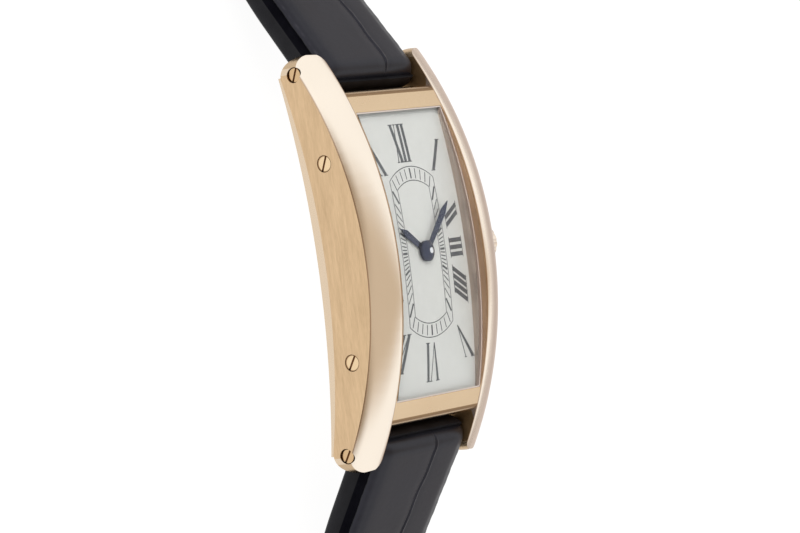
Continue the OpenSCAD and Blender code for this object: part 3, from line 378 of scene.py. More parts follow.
def head_place(tree):
    """Place on the head in millimetres, as outputs for x, y and z."""
    x, y, z = (number(tree, "MULTIPLY", at, 1000) for at in own_place(tree))
    return x, number(tree, "SUBTRACT", y, head_y), number(tree, "SUBTRACT", z, head_z)


# The rails are pale, duller on the far side and darker there in painted shade, with painted lines of shade
# along both edges
rail_gold, t, shader, marks = clouded("rail_gold", 1, 0.15, (0.965, 0.862, 0.735), (0.99, 0.885, 0.757), 160.0,
                                      Specular_Tint=(0.8, 0.74, 0.7, 1))
rail_x = head_place(t)[0]
# Painted shade: the far rail turns a darker tan, and greyer at its outer rim.
tone_over(t, shader, soft_step(t, rail_x, *far_side_shade), (0.80, 0.69, 0.60))
tone_over(t, shader, soft_step(t, rail_x, *far_rim_shade), (0.62, 0.57, 0.535))
# Painted lines of shade along the rails' outer rim and the crystal's edge.
rim_shade = soft_step(t, rail_x, outer_shade_line[0] - half_w, outer_shade_line[1] - half_w)
crystal_edge_shade = soft_step(t, number(t, "ABSOLUTE", rail_x), rail_in + inner_shade_line[0], rail_in + inner_shade_line[1])
lines = number(t, "MULTIPLY", number(t, "MAXIMUM", rim_shade, crystal_edge_shade), 0.75)
tone_over(t, shader, lines, (0.36, 0.2, 0.1))
far_haze = soft_step(t, rail_x, *far_dull, 0.0, 0.2)
haze = number(t, "ADD", far_haze, handled_roughness(t, marks, 0.13, 0.17, 0.04))
wire(t, (haze, shader.inputs["Roughness"]))

# The walls beside the crystal are dull, and darker brown in painted shade over the crystal's edge
wall_gold, t, shader = new_finish("wall_gold", 1, 0.5)
streaks = use(t, brushing, Stretch=(1, 0.2, 9), Scale=260.0)
two_tones(t, shader, streaks["Shade"], (0.38, 0.315, 0.275), (0.56, 0.475, 0.42))
_, wall_y, wall_z = head_place(t)
wall_r = long_side(t, wall_y, number(t, "SUBTRACT", wall_z, crystal_axis_z))
# Painted shade: the wall above the crystal's edge turns dark brown.
tone_over(t, shader, soft_step(t, wall_r, wall_shade_from_r, wall_shade_r), (0.50, 0.33, 0.215))

bar_gold = polished("bar_gold", (0.76, 0.57, 0.365), 0.24)
bevel_gold = polished("bevel_gold", (0.73, 0.585, 0.43), 0.22)
flank_gold = brushed("flank_gold", (0.73, 0.52, 0.315), (0.55, 0.385, 0.225), 0.36, (12, 1, 12), 900.0,
                     0.00003)
# Painted shade: the tips' sides are a darker tan.
tip_shade_gold = polished("tip_shade_gold", (0.56, 0.41, 0.26), 0.3)
# Painted dark reflection: the roundings of the end bars are dark brown.
rounding_dark_reflection = polished("rounding_dark_reflection", (0.4, 0.26, 0.13), 0.16)
# Painted shade: the inner walls are dark brown.
inside_shade_gold = brushed("inside_shade_gold", (0.44, 0.29, 0.15), (0.35, 0.22, 0.11), 0.45, (1, 1, 1), 900.0, 0.00002)
# Painted shade: the walls of the screw holes are dark brown.
hole_shade = polished("hole_shade", (0.25, 0.135, 0.055), 0.4)


def soften(mesh, angle=32):
    for face in mesh.polygons:
        face.use_smooth = True
    mesh.set_sharp_from_angle(angle=math.radians(angle))


def dress(material, *names):
    for name in names:
        mesh = node[name].data
        soften(mesh)
        mesh.materials.clear()
        mesh.materials.append(material)


def dress_faces(name, materials, choose):
    """Each face gets the finish that choose names, from its place on the head and its normal."""
    dress(materials[0], name)
    mesh = node[name].data
    for material in materials[1:]:
        mesh.materials.append(material)
    for face in mesh.polygons:
        c = face.center
        finish = choose(c.x * 1000, c.y * 1000 - head_y, c.z * 1000 - head_z, face.normal)
        face.material_index = materials.index(finish)


def case_finish(x, y, z, n):
    """In turn: screw holes in painted shade, flanks and bevels, end-bar roundings in a painted dark
    reflection, tips in painted shade, rails, end bars, walls, and inner walls in painted shade.
    """
    far_x, far_y = abs(x), abs(y)
    for hole_y, hole_z, hole_r in ((case_screw_y, case_screw_z, case_hole_r), (bar_y, bar_z, bar_hole_r)):
        off_y, off_z = far_y - hole_y, z - hole_z
        away = math.hypot(off_y, off_z)
        inward = -(n.y * math.copysign(off_y, y * off_y) + n.z * off_z)
        if away < hole_r and far_x > hole_bottom and inward > 0.9 * away:
            return hole_shade
    if far_x > half_w - bevel_w and abs(n.x) > 0.9:
        return flank_gold if abs(n.x) > 0.995 else bevel_gold
    faces_end = y * n.y > 0 and abs(n.y) > 0.42 and n.z > 0.04
    if far_x < rail_in + slack and far_y > end_round_y and faces_end:
        return rounding_dark_reflection
    if far_x > rail_in + slack and far_y > tip_y and n.z < 0.42:
        return tip_shade_gold
    if far_x > rail_in - slack and n.z > 0.15:
        return rail_gold
    if far_x < rail_in + bar_slack and far_y > opening_y - bar_slack and z > end_bar_floor and n.z > 0.3:
        return bar_gold
    if far_x < rail_in + wall_slack and z > wall_floor and abs(n.x) > 0.95:
        return wall_gold
    return rail_gold if far_x > rail_in + wall_slack else inside_shade_gold


golds = [rail_gold, flank_gold, bar_gold, bevel_gold, wall_gold, inside_shade_gold, hole_shade, tip_shade_gold, rounding_dark_reflection]
dress_faces("case_front", golds, case_finish)
back_gold = brushed("back_gold", (0.82, 0.64, 0.43), (0.74, 0.56, 0.36), 0.28, (1, 12, 1), 500.0, 0.00001)
dress(back_gold, "case_back")

# Screws
# Slotted gold screws, each ringed by painted shade: two hold the back through each flank, and the four near
# the tips hold the strap bars, a darker gold as painted shade in their holes. Their heads are flat and
# polished.
head_r, shade_ring_r, shade_ring_up, slot_deep, head_deep = 0.66, 0.8, 0.06, 0.65, 0.95
screw_gold, t, shader, _ = clouded("screw_gold", 1, 0.2, (0.78, 0.585, 0.36), (0.84, 0.635, 0.4), 400.0)
_, screw_y, screw_z = head_place(t)
off_y = number(t, "SUBTRACT", number(t, "ABSOLUTE", screw_y), case_screw_y)
off_z = number(t, "SUBTRACT", screw_z, case_screw_z + shade_ring_up)
# A ring of painted shade round each case screw's head, set a little off its middle.
tone_over(t, shader, soft_step(t, long_side(t, off_y, off_z), head_r, shade_ring_r), (0.24, 0.12, 0.05))
# Painted shade: the screws sunk at the bars are a darker gold.
sunk_shade_gold = polished("sunk_shade_gold", (0.66, 0.45, 0.25), 0.2)
slot_shade = polished("slot_shade", (0.3, 0.155, 0.065), 0.4)


def case_screw_finish(x, y, z, n):
    below_slot = abs(x) < half_w - slot_deep
    side_of_head = abs(x) > half_w - head_deep and abs(n.x) < 0.5
    return slot_shade if below_slot or side_of_head else screw_gold


def bar_screw_finish(x, y, z, n):
    return slot_shade if abs(n.x) < 0.5 else sunk_shade_gold


dress_faces("case_screws", [screw_gold, slot_shade], case_screw_finish)
dress_faces("bar_screws", [sunk_shade_gold, slot_shade], bar_screw_finish)
bar_steel = brushed("bar_steel", (0.66, 0.66, 0.67), (0.55, 0.55, 0.56), 0.3, (0.4, 6, 6), 800.0, 0.00001)
dress(bar_steel, "strap_bar_12", "strap_bar_6", "clasp_bar_12", "clasp_bar_6")

# Crystal
# A curved sheet of clear glass with a pale seal round it, let into the gold. The lamp's light passes
# through it to the dial, and it bends light less than real glass, so that the dial shows in its place.
crystal_glass, t, shader = new_finish("crystal_glass", 0, 0.0, Transmission_Weight=1.0, IOR=1.17,
                                      Base_Color=(0.985, 0.99, 0.985, 1))
clear, both = t.nodes.new("ShaderNodeBsdfTransparent"), t.nodes.new("ShaderNodeMixShader")
path = t.nodes.new("ShaderNodeLightPath")
wire(t, (path.outputs["Is Shadow Ray"], both.inputs[0]), (shader.outputs[0], both.inputs[1]),
     (clear.outputs[0], both.inputs[2]), (both.outputs[0], t.nodes["Material Output"].inputs["Surface"]))
dress(crystal_glass, "crystal")


def seal_rubber(name, colour, roughness):
    made, tree, shader = new_finish(name, 0, roughness, Base_Color=colour + (1,))
    marks = use(tree, handling, Scale=300.0)
    wire(tree, (span(tree, marks["Smear"], roughness - 0.1, roughness + 0.1), shader.inputs["Roughness"]))
    return made


dress(seal_rubber("seal_pale", (0.8, 0.7, 0.64), 0.5), "crystal_gasket")
dress(seal_rubber("seal_black", (0.03, 0.03, 0.032), 0.6), "back_gasket")

# Dial
# A curved plate with a satin off-white face, which lies on the movement under the crystal. Numerals
# and minute track are printed on it in slate ink.
dial_r, dial_top, ink_lift = 88.0742, -dial_deep, 0.012
track_line, minute_line, fifth_line, minute_gap = 0.09, 0.12, 0.23, 0.13
serif, serif_over, thick, thin, cut_l = 0.1, 0.14, 0.44, 0.13, 0.6
dial_white, t, shader = new_finish("dial_white", 0, 0.42, Coat_Weight=0.15, Coat_Roughness=0.25)
lines = use(t, brushing, Stretch=(1, 1, 1), Scale=1800.0)
two_tones(t, shader, lines["Shade"], (0.555, 0.565, 0.55), (0.595, 0.605, 0.59))
bump(t, shader, lines["Height"], 0.08, 0.00001)
dress(dial_white, "dial")
ink = clouded("ink", 0, 0.4, (0.045, 0.05, 0.058), (0.085, 0.09, 0.10), 900.0)[0]
print_points, print_faces = [], []


def print_height(y):
    return dial_top - dial_r + math.sqrt(dial_r * dial_r - y * y) + ink_lift


def print_bar(a, b, wide_a, wide_b=None):
    """A printed stroke from a to b, cut in short lengths so that it follows the dial."""
    wide_b = wide_a if wide_b is None else wide_b
    ax, ay, bx, by = *a, *b
    length = math.hypot(bx - ax, by - ay)
    if length < 1e-6:
        return
    nx, ny = -(by - ay) / length, (bx - ax) / length
    cuts = max(1, int(abs(by - ay) / cut_l) + 1)
    first = len(print_points)
    for i in range(cuts + 1):
        u = i / cuts
        w = (wide_a + (wide_b - wide_a) * u) / 2
        x, y = ax + (bx - ax) * u, ay + (by - ay) * u
        for k in (-1, 1):
            px, py = x + k * nx * w, y + k * ny * w
            print_points.append(on_head(px, py, print_height(py)))
    for i in range(cuts):
        j = first + 2 * i
        print_faces.append((j, j + 2, j + 3, j + 1))


def round_frame(half, corner, top):
    """Half width, height of the corners and of the arched ends, as a closed line of points."""
    rise = top - corner
    r = (half * half + rise * rise) / (2 * rise)
    reach = math.asin(half / r)
    arch = [(r * math.sin(a), top - r + r * math.cos(a)) for a in np.linspace(-reach, reach, 25)]
    return arch + [(x, -y) for x, y in reversed(arch)]


def plain_frame(half_x, half_y):
    return [(-half_x, half_y), (half_x, half_y), (half_x, -half_y), (-half_x, -half_y)]


def sides(outline):
    return zip(outline, outline[1:] + outline[:1])


def ray_to(outline, angle):
    """Where a ray from the dial's middle meets a closed outline; the angle is clockwise from 12."""
    dx, dy = math.sin(math.radians(angle)), math.cos(math.radians(angle))
    best = None
    for (x0, y0), (x1, y1) in sides(outline):
        det = (x1 - x0) * dy - (y1 - y0) * dx
        if abs(det) < 1e-9:
            continue
        u = (dx * y0 - dy * x0) / det
        if -1e-9 <= u <= 1 + 1e-9:
            px, py = x0 + u * (x1 - x0), y0 + u * (y1 - y0)
            reach = px * dx + py * dy
            if reach > 0 and (best is None or reach < best[0]):
                best = (reach, (px, py))
    return best[1]


track_out, track_in = round_frame(3.777, 7.304, 8.605), round_frame(2.747, 6.36, 7.188)
numeral_out, numeral_in = plain_frame(6.75, 12.9), plain_frame(4.6, 9.1)
for outline in (track_out, track_in):
    for a, b in sides(outline):
        print_bar(a, b, track_line)
for minute in range(60):
    (ax, ay), (bx, by) = ray_to(track_in, minute * 6), ray_to(track_out, minute * 6)
    start, end = ((ax + (bx - ax) * u, ay + (by - ay) * u) for u in (minute_gap, 1 - minute_gap))
    print_bar(start, end, fifth_line if minute % 5 == 0 else minute_line)


def print_numeral(hour, strokes, shift=(0, 0), short=0.0):
    """Strokes are [inner place, outer place, width] in millimetres across the numeral.
    A fourth value is the width at the inner end of a stroke that starts there at a point, with no serif."""
    inner, outer = ray_to(numeral_in, hour * 30), ray_to(numeral_out, hour * 30)
    keep = 1 - short / math.hypot(outer[0] - inner[0], outer[1] - inner[1])
    outer = (inner[0] + (outer[0] - inner[0]) * keep, inner[1] + (outer[1] - inner[1]) * keep)
    across = {2: (0, -1), 3: (0, -1), 4: (0, -1), 8: (0, 1), 9: (0, 1), 10: (0, 1),
              5: (-1, 0), 6: (-1, 0), 7: (-1, 0)}.get(hour, (1, 0))
    ends = []
    for middle, share in ((inner, 0), (outer, 1)):
        places = [stroke[share] for stroke in strokes]
        x, y = middle[0] + shift[0], middle[1] + shift[1]
        ends.append([(x + across[0] * k, y + across[1] * k) for k in places])
        for at, stroke in zip(ends[-1], strokes):
            reach = stroke[2] / 2 + serif_over
            if share or len(stroke) < 4:
                print_bar((at[0] - across[0] * reach, at[1] - across[1] * reach),
                          (at[0] + across[0] * reach, at[1] + across[1] * reach), serif)
    for a, b, stroke in zip(ends[0], ends[1], strokes):
        print_bar(a, b, stroke[-1], stroke[2])


print_numeral(0, [(-0.35, -1.05, thick), (-1.0, -0.4, thin), (0.22, 0.22, thick), (0.9, 0.9, thick)],
              (-0.5, 0))
print_numeral(1, [(0, 0, thick)], (-0.45, 0), 0.8)
print_numeral(2, [(-0.38, -0.38, thick), (0.38, 0.38, thick)])
print_numeral(3, [(-0.71, -0.71, thick), (0, 0, thick), (0.71, 0.71, thick)])
print_numeral(4, [(-1.08, -1.08, thick), (-0.36, -0.36, thick), (0.36, 0.36, thick), (1.08, 1.08, thick)],
              (0, -0.5))
print_numeral(5, [(0, 0.65, thin, 0.1), (0, -0.65, thick, 0.2)], (-0.1, 0.1), 0.5)
print_numeral(6, [(0.97, 1.13, 0.38), (-0.11, 0.64, thin, 0.1), (-0.11, -0.53, 0.38, 0.16)], (0.1, -0.05))
print_numeral(7, [(-0.6, -1.1, thick), (-0.5, -0.1, thin), (0.3, 0.3, thick), (0.95, 0.95, thick)])
print_numeral(8, [(-1.1, -1.5, thick), (-1.0, -0.6, thin), (-0.1, -0.1, thick), (0.6, 0.6, thick),
                  (1.3, 1.3, thick)], (0, -0.6))
print_numeral(9, [(-0.8, -0.8, thick), (0.0, 0.75, thin), (0.75, 0.0, thick)])
print_numeral(10, [(-0.4, 0.4, thin), (0.4, -0.4, thick)])
print_numeral(11, [(-1.0, -0.3, thick), (-0.35, -0.95, thin), (0.45, 0.45, thick)])


def new_piece(name, points, faces, material, body, smooth=False):
    mesh = bpy.data.meshes.new(name)
    mesh.from_pydata([tuple(p) for p in points], [], [tuple(f) for f in faces])
    mesh.materials.append(material)
    for face in mesh.polygons:
        face.use_smooth = smooth
    made = put_in(name, mesh)
    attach(made, body)
    return made


printing = new_piece("dial_printing", print_points, print_faces, ink, "case")

# Hands
# Sword hands of blued steel on a domed cap, each filed to a soft ridge. They stand at about 10:07.
# A small white pin with a domed top closes the cap.
pin_steps, pin_top, pin_sides = [(0.30, -0.12), (0.30, -0.02), (0.25, 0.015), (0.14, 0.032)], 0.036, 32
hand_blue = clouded("hand_blue", 0.7, 0.12, (0.022, 0.028, 0.06), (0.034, 0.042, 0.08), 700.0,
                    Coat_Weight=0.2, Coat_Roughness=0.05)[0]
dress(hand_blue, "hour_hand", "minute_hand", "hand_cap")
pin_white = polished("pin_white", (0.80, 0.81, 0.84), 0.15)


def band_faces(rings, around, outward):
    """Faces between closed rings of points; outward says which way round they go."""
    faces = []
    for i in range(rings - 1):
        for j in range(around):
            a, b = i * around + j, i * around + (j + 1) % around
            faces.append((a, b, b + around, a + around) if outward else (a, a + around, b + around, b))
    return faces


turns = np.linspace(0, 2 * math.pi, pin_sides + 1)[:-1]
points = [on_head(r * math.cos(a), r * math.sin(a), z) for r, z in pin_steps for a in turns]
points.append(on_head(0, 0, pin_top))
last_ring = (len(pin_steps) - 1) * pin_sides
faces = band_faces(len(pin_steps), pin_sides, True)
faces += [(last_ring + j, last_ring + (j + 1) % pin_sides, len(points) - 1) for j in range(pin_sides)]
faces.append(tuple(range(pin_sides - 1, -1, -1)))
pin = new_piece("hand_pin", points, faces, pin_white, "minute_train")
soften(pin.data, 50)

# Crown
# A fluted gold crown that holds a polished dark blue stone. It turns on a steel stem in a steel tube,
# and the stem carries the winding pinion that the setting lever moves.
crown_gold = polished("crown_gold", (0.93, 0.82, 0.70), 0.22)
dress(crown_gold, "crown")
dress(bar_steel, "crown_tube", "stem", "winding_pinion", "setting_lever")
stone_blue = clouded("stone_blue", 0, 0.06, (0.01, 0.018, 0.09), (0.02, 0.035, 0.15), 900.0,
                     Coat_Weight=0.6, Coat_Roughness=0.03)[0]
dress(stone_blue, "cabochon")

# Strap
# Padded black leather with a smooth glaze, folded round the bars and glued. Long creases divide it
# into large scales, and its painted edges are rounded. The tail has five punched holes.
# Sizes at the case and at the end, then the middle line: a straight run down, a bend and a flat run
strap_w, strap_w_end, strap_t, strap_t_end, strap_crown = 14.6, 12.0, 2.7, 2.2, 0.5
strap_angle, strap_run, strap_bend, strap_12_l, strap_6_l = math.radians(33), 12.0, 26.0, 84.0, 56.0
bend_end, step = strap_run + strap_bend * strap_angle, 0.25
# The folded ends round the bars, and the tail's tip, which narrows to a round end and thins there
loop_r, end_loop_r, loop_lip, loop_cuts = 1.45, 1.2, 0.06, 9
tail_tip, tip_cuts, tip_close, tip_thin_from, tip_thin = 9.0, 26, 0.985, 0.9, 3
# Near the case the strap is wider, and plumper on the lining side. Both fade over a stretch.
near_from, near_over, near_plump, near_wide, plump_over = 8, 14, 0.7, 0.3, 0.8
# The section: how far down face, edge and creases reach, where the edge begins, and its roundings
face_deep, face_power, edge_deep, edge_from, crease_deep = 0.42, 9, 0.9, 0.8, 0.40
edge_in, edge_round, lining_cuts, groove_faces = 0.02, 0.25, 12, 4
# The scales along the strap, the holes in the tail, and the lining rolled under the end at the case
scales, scale_l, scale_first, scale_shift = 13, 7.9, 9.2, 2.9
holes, hole_r, hole_first, hole_step, rod_l = 5, 0.75, 71, 6, 8
roll_out, roll_in, roll_cuts, roll_from, roll_to, roll_gap, roll_soft = 2.1, 0.5, 24, 22, -120, 0.12, 0.8


def on_table(x, y, z):
    """From the head's middle in x and y, and over the table in z."""
    return (x / 1000, (head_y + y) / 1000, z / 1000)


def strap_share(s):
    return min(max(s, 0) / strap_6_l, 1)


def strap_thick(s):
    return strap_t + (strap_t_end - strap_t) * strap_share(s)


def strap_wide(s):
    return strap_w + (strap_w_end - strap_w) * strap_share(s)


pivot_z = (strap_thick(bend_end) / 2 + strap_bend * (1 - math.cos(strap_angle))
           + strap_run * math.sin(strap_angle))
bend_y = bar_y + strap_run * math.cos(strap_angle) + strap_bend * math.sin(strap_angle)


def strap_at(s):
    """Middle line as y from the head's middle, height over the table and slope."""
    if s < strap_run:
        return bar_y + s * math.cos(strap_angle), pivot_z - s * math.sin(strap_angle), strap_angle
    if s < bend_end:
        a = strap_angle - (s - strap_run) / strap_bend
        z = strap_thick(bend_end) / 2 + strap_bend * (1 - math.cos(a))
        return bend_y - strap_bend * math.sin(a), z, a
    return bend_y + s - bend_end, strap_thick(s) / 2, 0.0


leather, t, shader, marks = clouded("leather", 0, 0.33, (0.006, 0.006, 0.009), (0.012, 0.012, 0.017), 110.0,
                                    Specular_IOR_Level=0.32, Specular_Tint=(0.86, 0.86, 1, 1))
place, cells = t.nodes.new("ShaderNodeTexCoord"), t.nodes.new("ShaderNodeTexVoronoi")
cells.inputs["Scale"].default_value = 900
wire(t, (place.outputs["Object"], cells.inputs["Vector"]))
pores = noise(t, place.outputs["Object"], 2600.0, 5)
wire(t, (number(t, "ADD", span(t, marks["Smear"], 0.26, 0.36), number(t, "MULTIPLY", pores, 0.08)),
         shader.inputs["Roughness"]))
half_pores, half_cells = (number(t, "MULTIPLY", height, 0.5) for height in (pores, cells.outputs["Distance"]))
bump(t, shader, number(t, "ADD", half_pores, half_cells), 0.22, 0.00004)
edge_paint, t, shader, marks = clouded("edge_paint", 0, 0.5, (0.005, 0.005, 0.007), (0.011, 0.011, 0.014),
                                       500.0, Specular_IOR_Level=0.16)
bump(t, shader, marks["Smear"], 0.3, 0.00004)
# Painted shade: the groove under the folded edge is near black, with almost no shine.
groove_shade = clouded("groove_shade", 0, 0.7, (0.002, 0.002, 0.004), (0.005, 0.005, 0.008), 500.0,
                       Specular_IOR_Level=0.03)[0]


def strap_wall(thick):
    """The edge from the face down to the lining, as [in from the side, down from the face]."""
    return [(0.04, 0.52), (0.4, 0.64), (0.62, 0.85), (0.5, 1.1), (0.2, 1.3), (0.02, 1.5),
            (0, 0.35 * thick + 1.0), (0.06, thick - edge_round), (edge_round, thick)]


def strap_section(wide, thick, crown, crease):
    """Closed section as [across, outward]: crowned face, folded edge over a groove, wall and flat lining."""
    half = wide / 2 - edge_in
    by_crease = (-0.05, -0.035, -0.022, -0.012, 0, 0.012, 0.022, 0.035, 0.05)
    across = sorted([math.sin(k * math.pi / 120) for k in range(-60, 61, 2)] + [crease + k for k in by_crease])
    domes = [(crown + face_deep) * max(1 - abs(x) ** face_power, 0) ** 0.5 for x in across]
    face = [(x * half, thick / 2 - face_deep + dome) for x, dome in zip(across, domes)]
    wall = [(half - inset, max(thick / 2 - min(down, thick), -thick / 2)) for inset, down in strap_wall(thick)]
    flat = half - edge_round
    lining = [(flat - 2 * flat * k / lining_cuts, -thick / 2) for k in range(1, lining_cuts)]
    return face + wall + lining + [(-x, out) for x, out in reversed(wall)]


def section_kinds(count):
    """The finish of each face round the section: 0 is leather, 1 is painted edge or lining, 2 is groove in
    near-black painted shade.
    """
    top = count - 2 * len(strap_wall(1)) - (lining_cuts - 1)
    groove = set(range(top, top + groove_faces)) | set(range(count - 1 - groove_faces, count - 1))
    return [0 if j < top - 1 else 2 if j in groove else 1 for j in range(count)]


def crease_place(s, fold, wave):
    """The main crease wanders along the strap in a slow and a quick wave, from -1 to 1 across."""
    return fold + 0.028 * math.sin(s * 0.31 + wave) + 0.012 * math.sin(s * 1.3 + 2 * wave)


def dent(x, wide, deep):
    return deep * math.exp(-(x / wide) ** 2)


def crease_depth(s, u, fold, wave):
    """Depth at a length s and a place u across: the main crease with its raised lip, a faint fold near each
    edge, and folds across the strap between the scales, deeper on one side of the crease."""
    x = u - crease_place(s, fold, wave)
    depth = dent(x, 0.014, 0.12) * (0.75 + 0.25 * math.sin(s * 0.5 + wave)) + dent(x, 0.09, 0.05)
    depth -= dent(x - 0.026, 0.012, 0.09)
    depth += dent(u - 0.86, 0.05, 0.04) + dent(u + 0.88, 0.05, 0.04)
    for k in range(scales):
        at = scale_first + k * scale_l + (scale_shift if x > 0 else 0)
        at += 0.5 * math.sin(k * 2.4 + wave) + 0.5 * math.sin(3 * u + k)
        depth += dent(s - at, 0.2, 0.07 if x > 0 else 0.028)
    return depth


def strap_stops(length, tail):
    """Lengths where the strap gets a section: close together round its folded ends and its tip."""
    loop = np.linspace(loop_lip, math.pi / 2, loop_cuts)
    stops = list(-loop_r * np.cos(loop)) + list(np.arange(step, length - 0.01, step))
    if tail:
        tip = length - tail_tip + tail_tip * np.sin(np.linspace(0, math.pi / 2, tip_cuts))
        return [s for s in stops if s < length - tail_tip] + list(tip)
    return stops + list(length + end_loop_r * np.sin(np.linspace(0, math.pi / 2 - loop_lip, loop_cuts)))


def strap_sizes(s, length, tail):
    """Width, thickness, crown, height over the table and how far the folded end has closed, from 1 to 0."""
    wide, thick, crown, nose = strap_wide(s), strap_thick(s), strap_crown * (1 - strap_share(s)), 1.0
    z = strap_at(s)[1]
    if s < 0:
        nose = math.sqrt(max(1 - (s / loop_r) ** 2, 0.0))
        thick, crown = thick * nose, crown * nose
    elif s > length and not tail:
        nose = math.sqrt(max(1 - ((s - length) / end_loop_r) ** 2, 0.0))
        thick, z = thick * nose, strap_t_end / 2
    elif s > length - tail_tip and tail:
        share = (s - length + tail_tip) / tail_tip
        wide *= math.sqrt(1 - tip_close * share * share)
        thick *= math.sqrt(1 - tip_thin * max(0, share - tip_thin_from))
        z = strap_thick(s) / 2
    return wide, thick, crown, z, nose


def sew_strap(length, tail, flip, fold, wave):
    """Points, faces and each face's finish. A tail ends in a tip, and flip turns the strap to the 6 end."""
    stops = strap_stops(length, tail)
    points, count = [], len(strap_section(1, 1, 1, 0))
    for s in stops:
        y, _, slope = strap_at(s)
        wide, thick, crown, z, nose = strap_sizes(s, length, tail)
        away = min(max((s - near_from) / near_over, 0), 1)
        near = 1 - away * away * (3 - 2 * away)
        wide += near_wide * near
        uneven = 0.05 + 0.03 * math.sin(1.9 * s + wave) + 0.02 * math.sin(5.3 * s + 2 * wave)
        for x, out in strap_section(wide, thick, crown, crease_place(s, fold, wave)):
            out -= near_plump * nose * near * max(0, min(1, (thick / 2 - edge_deep - out) / plump_over))
            if abs(x) > edge_from * wide / 2 and out > thick / 2 - edge_deep:
                x -= math.copysign(uneven, x) * nose
            if out > thick / 2 - crease_deep:
                out -= crease_depth(s, x / (wide / 2), fold, wave) * nose * (1 - 0.25 * strap_share(s))
            py, pz = y + out * math.sin(slope), z + out * math.cos(slope)
            points.append(on_table(x, -py if flip else py, max(pz, 0)))
    faces = band_faces(len(stops), count, not flip)
    first, last = list(range(count)), [(len(stops) - 1) * count + j for j in range(count)]
    faces += [first if flip else first[::-1], last[::-1] if flip else last]
    return points, faces, section_kinds(count) * (len(stops) - 1) + [1, 1]


def punch_holes(strap):
    """Round holes in the tail, cut with loose rods that are then thrown away."""
    shell = bmesh.new()
    shell.from_mesh(strap.data)
    bmesh.ops.recalc_face_normals(shell, faces=shell.faces)
    shell.to_mesh(strap.data)
    shell.free()
    rods = bmesh.new()
    for k in range(holes):
        y, z, _ = strap_at(hole_first - hole_step * k)
        bmesh.ops.create_cone(rods, cap_ends=True, segments=32, radius1=hole_r / 1000, radius2=hole_r / 1000,
                              depth=rod_l / 1000, matrix=Matrix.Translation(on_table(0, y, z)))
    mesh = bpy.data.meshes.new("rods")
    rods.to_mesh(mesh)
    rods.free()
    cutter = put_in("rods", mesh)
    cut = strap.modifiers.new("holes", "BOOLEAN")
    cut.object, cut.operation, cut.solver, cut.use_self = cutter, "DIFFERENCE", "EXACT", True
    bpy.context.view_layer.update()
    whole = bpy.data.meshes.new_from_object(strap.evaluated_get(bpy.context.evaluated_depsgraph_get()))
    strap.modifiers.clear()
    strap.data = whole
    bpy.data.objects.remove(cutter)
    bpy.data.meshes.remove(mesh)
    for face in strap.data.polygons:
        if abs(face.center.x) * 1000 < hole_r + 0.15 and abs(face.normal.z) < 0.3:
            face.material_index = 1


def roll_end(name, flip, body):
    """The lining folded back under the strap's end, round the bar and close to the case."""
    points = []
    roll = [(roll_out, a) for a in range(roll_from, roll_to - 1, -8)]
    roll += [(roll_in, a) for a in range(roll_to, roll_from + 1, 24)]
    for k in range(roll_cuts + 1):
        x = (-1 + 2 * k / roll_cuts) * (strap_w / 2 - roll_gap)
        shrink = 0.5 * max(0, abs(x) - strap_w / 2 + roll_soft)
        for r, a in roll:
            lean = math.radians(a)
            s, out = -(r - shrink) * math.cos(lean), (r - shrink) * math.sin(lean)
            y = bar_y + s * math.cos(strap_angle) + out * math.sin(strap_angle)
            z = pivot_z - s * math.sin(strap_angle) + out * math.cos(strap_angle)
            points.append(on_table(x, -y if flip else y, z))
    faces = band_faces(roll_cuts + 1, len(roll), flip)
    faces += [list(range(len(roll))), [roll_cuts * len(roll) + j for j in range(len(roll))]]
    made = new_piece(name, points, faces, edge_paint, body)
    soften(made.data, 40)
    return made


for stands_for, length, tail, flip, body, fold, wave in (
        ("strap_12", strap_12_l, True, False, "strap_upper", 0.30, 0.4),
        ("strap_6", strap_6_l, False, True, "strap_lower", 0.22, 2.1)):
    points, faces, kinds = sew_strap(length, tail, flip, fold, wave)
    strap = new_piece(stands_for + "_leather", points, faces, leather, body, smooth=True)
    strap.data.materials.append(edge_paint)
    strap.data.materials.append(groove_shade)
    for face, kind in zip(strap.data.polygons, kinds):
        face.material_index = kind
    if tail:
        punch_holes(strap)
    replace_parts(strap, stands_for)
    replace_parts(roll_end(stands_for + "_fold", flip, body), stands_for)

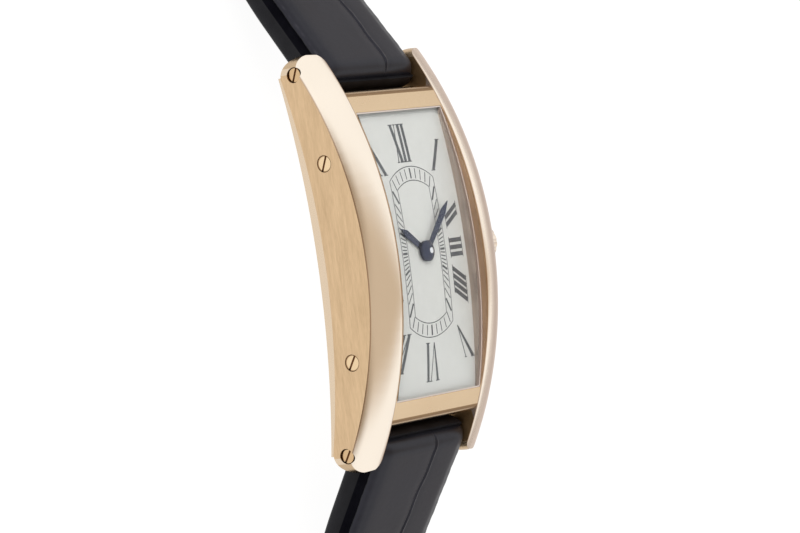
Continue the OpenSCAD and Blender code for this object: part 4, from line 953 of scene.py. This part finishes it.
# Clasp
# A folding clasp of three curved gold leaves on steel pins, hung on a bar in the end of the strap at 6.
# The leaves are polished inside, and the cover is brushed outside.
leaf_gold = polished("leaf_gold", (0.86, 0.68, 0.46), 0.2)
cover_gold = brushed("cover_gold", (0.82, 0.63, 0.41), (0.72, 0.53, 0.33), 0.3, (9, 0.5, 9), 500.0, 0.00002)
pin_steel = brushed("pin_steel", (0.6, 0.6, 0.61), (0.5, 0.5, 0.51), 0.3, (0.4, 6, 6), 900.0, 0.00001)
dress(leaf_gold, "clasp_inner_leaf", "clasp_middle_leaf")
dress(cover_gold, "clasp_cover")
dress(pin_steel, "hinge_pin_a", "hinge_pin_b")

# Movement
# A hand-wound movement behind the dial: plated bridges with fine graining, gilt wheels, steel winding
# wheels, blued screws and red jewels. A grey holder keeps it in the case.
bridge_plate = brushed("bridge_plate", (0.66, 0.67, 0.68), (0.54, 0.55, 0.56), 0.3, (1, 7, 1), 420.0, 0.00002)
holder_grey = brushed("holder_grey", (0.42, 0.43, 0.44), (0.34, 0.35, 0.36), 0.42, (1, 1, 1), 700.0, 0.00002)
wheel_gilt = brushed("wheel_gilt", (0.78, 0.58, 0.24), (0.68, 0.48, 0.18), 0.26, (1, 1, 4), 900.0, 0.00001)
wheel_steel = brushed("wheel_steel", (0.62, 0.63, 0.65), (0.5, 0.51, 0.53), 0.22, (1, 1, 4), 900.0, 0.00001)
screw_blue = polished("screw_blue", (0.06, 0.1, 0.32), 0.2)
jewel_red = clouded("jewel_red", 0, 0.05, (0.42, 0.02, 0.07), (0.55, 0.04, 0.12), 2000.0,
                    Coat_Weight=0.5, Coat_Roughness=0.03)[0]
dress(bridge_plate, "main_plate", "barrel_bridge", "train_bridge", "pallet_bridge", "balance_cock")
dress(holder_grey, "movement_holder")
dress(wheel_gilt, "barrel", "center_wheel", "third_wheel", "fourth_wheel", "balance_wheel", "minute_wheel",
      "hour_wheel")
dress(wheel_steel, "ratchet_wheel", "crown_wheel", "click", "barrel_arbor", "mainspring", "escape_wheel",
      "pallet_fork", "cannon_pinion")
dress(screw_blue, "movement_screws", "hairspring")
dress(jewel_red, "jewels")
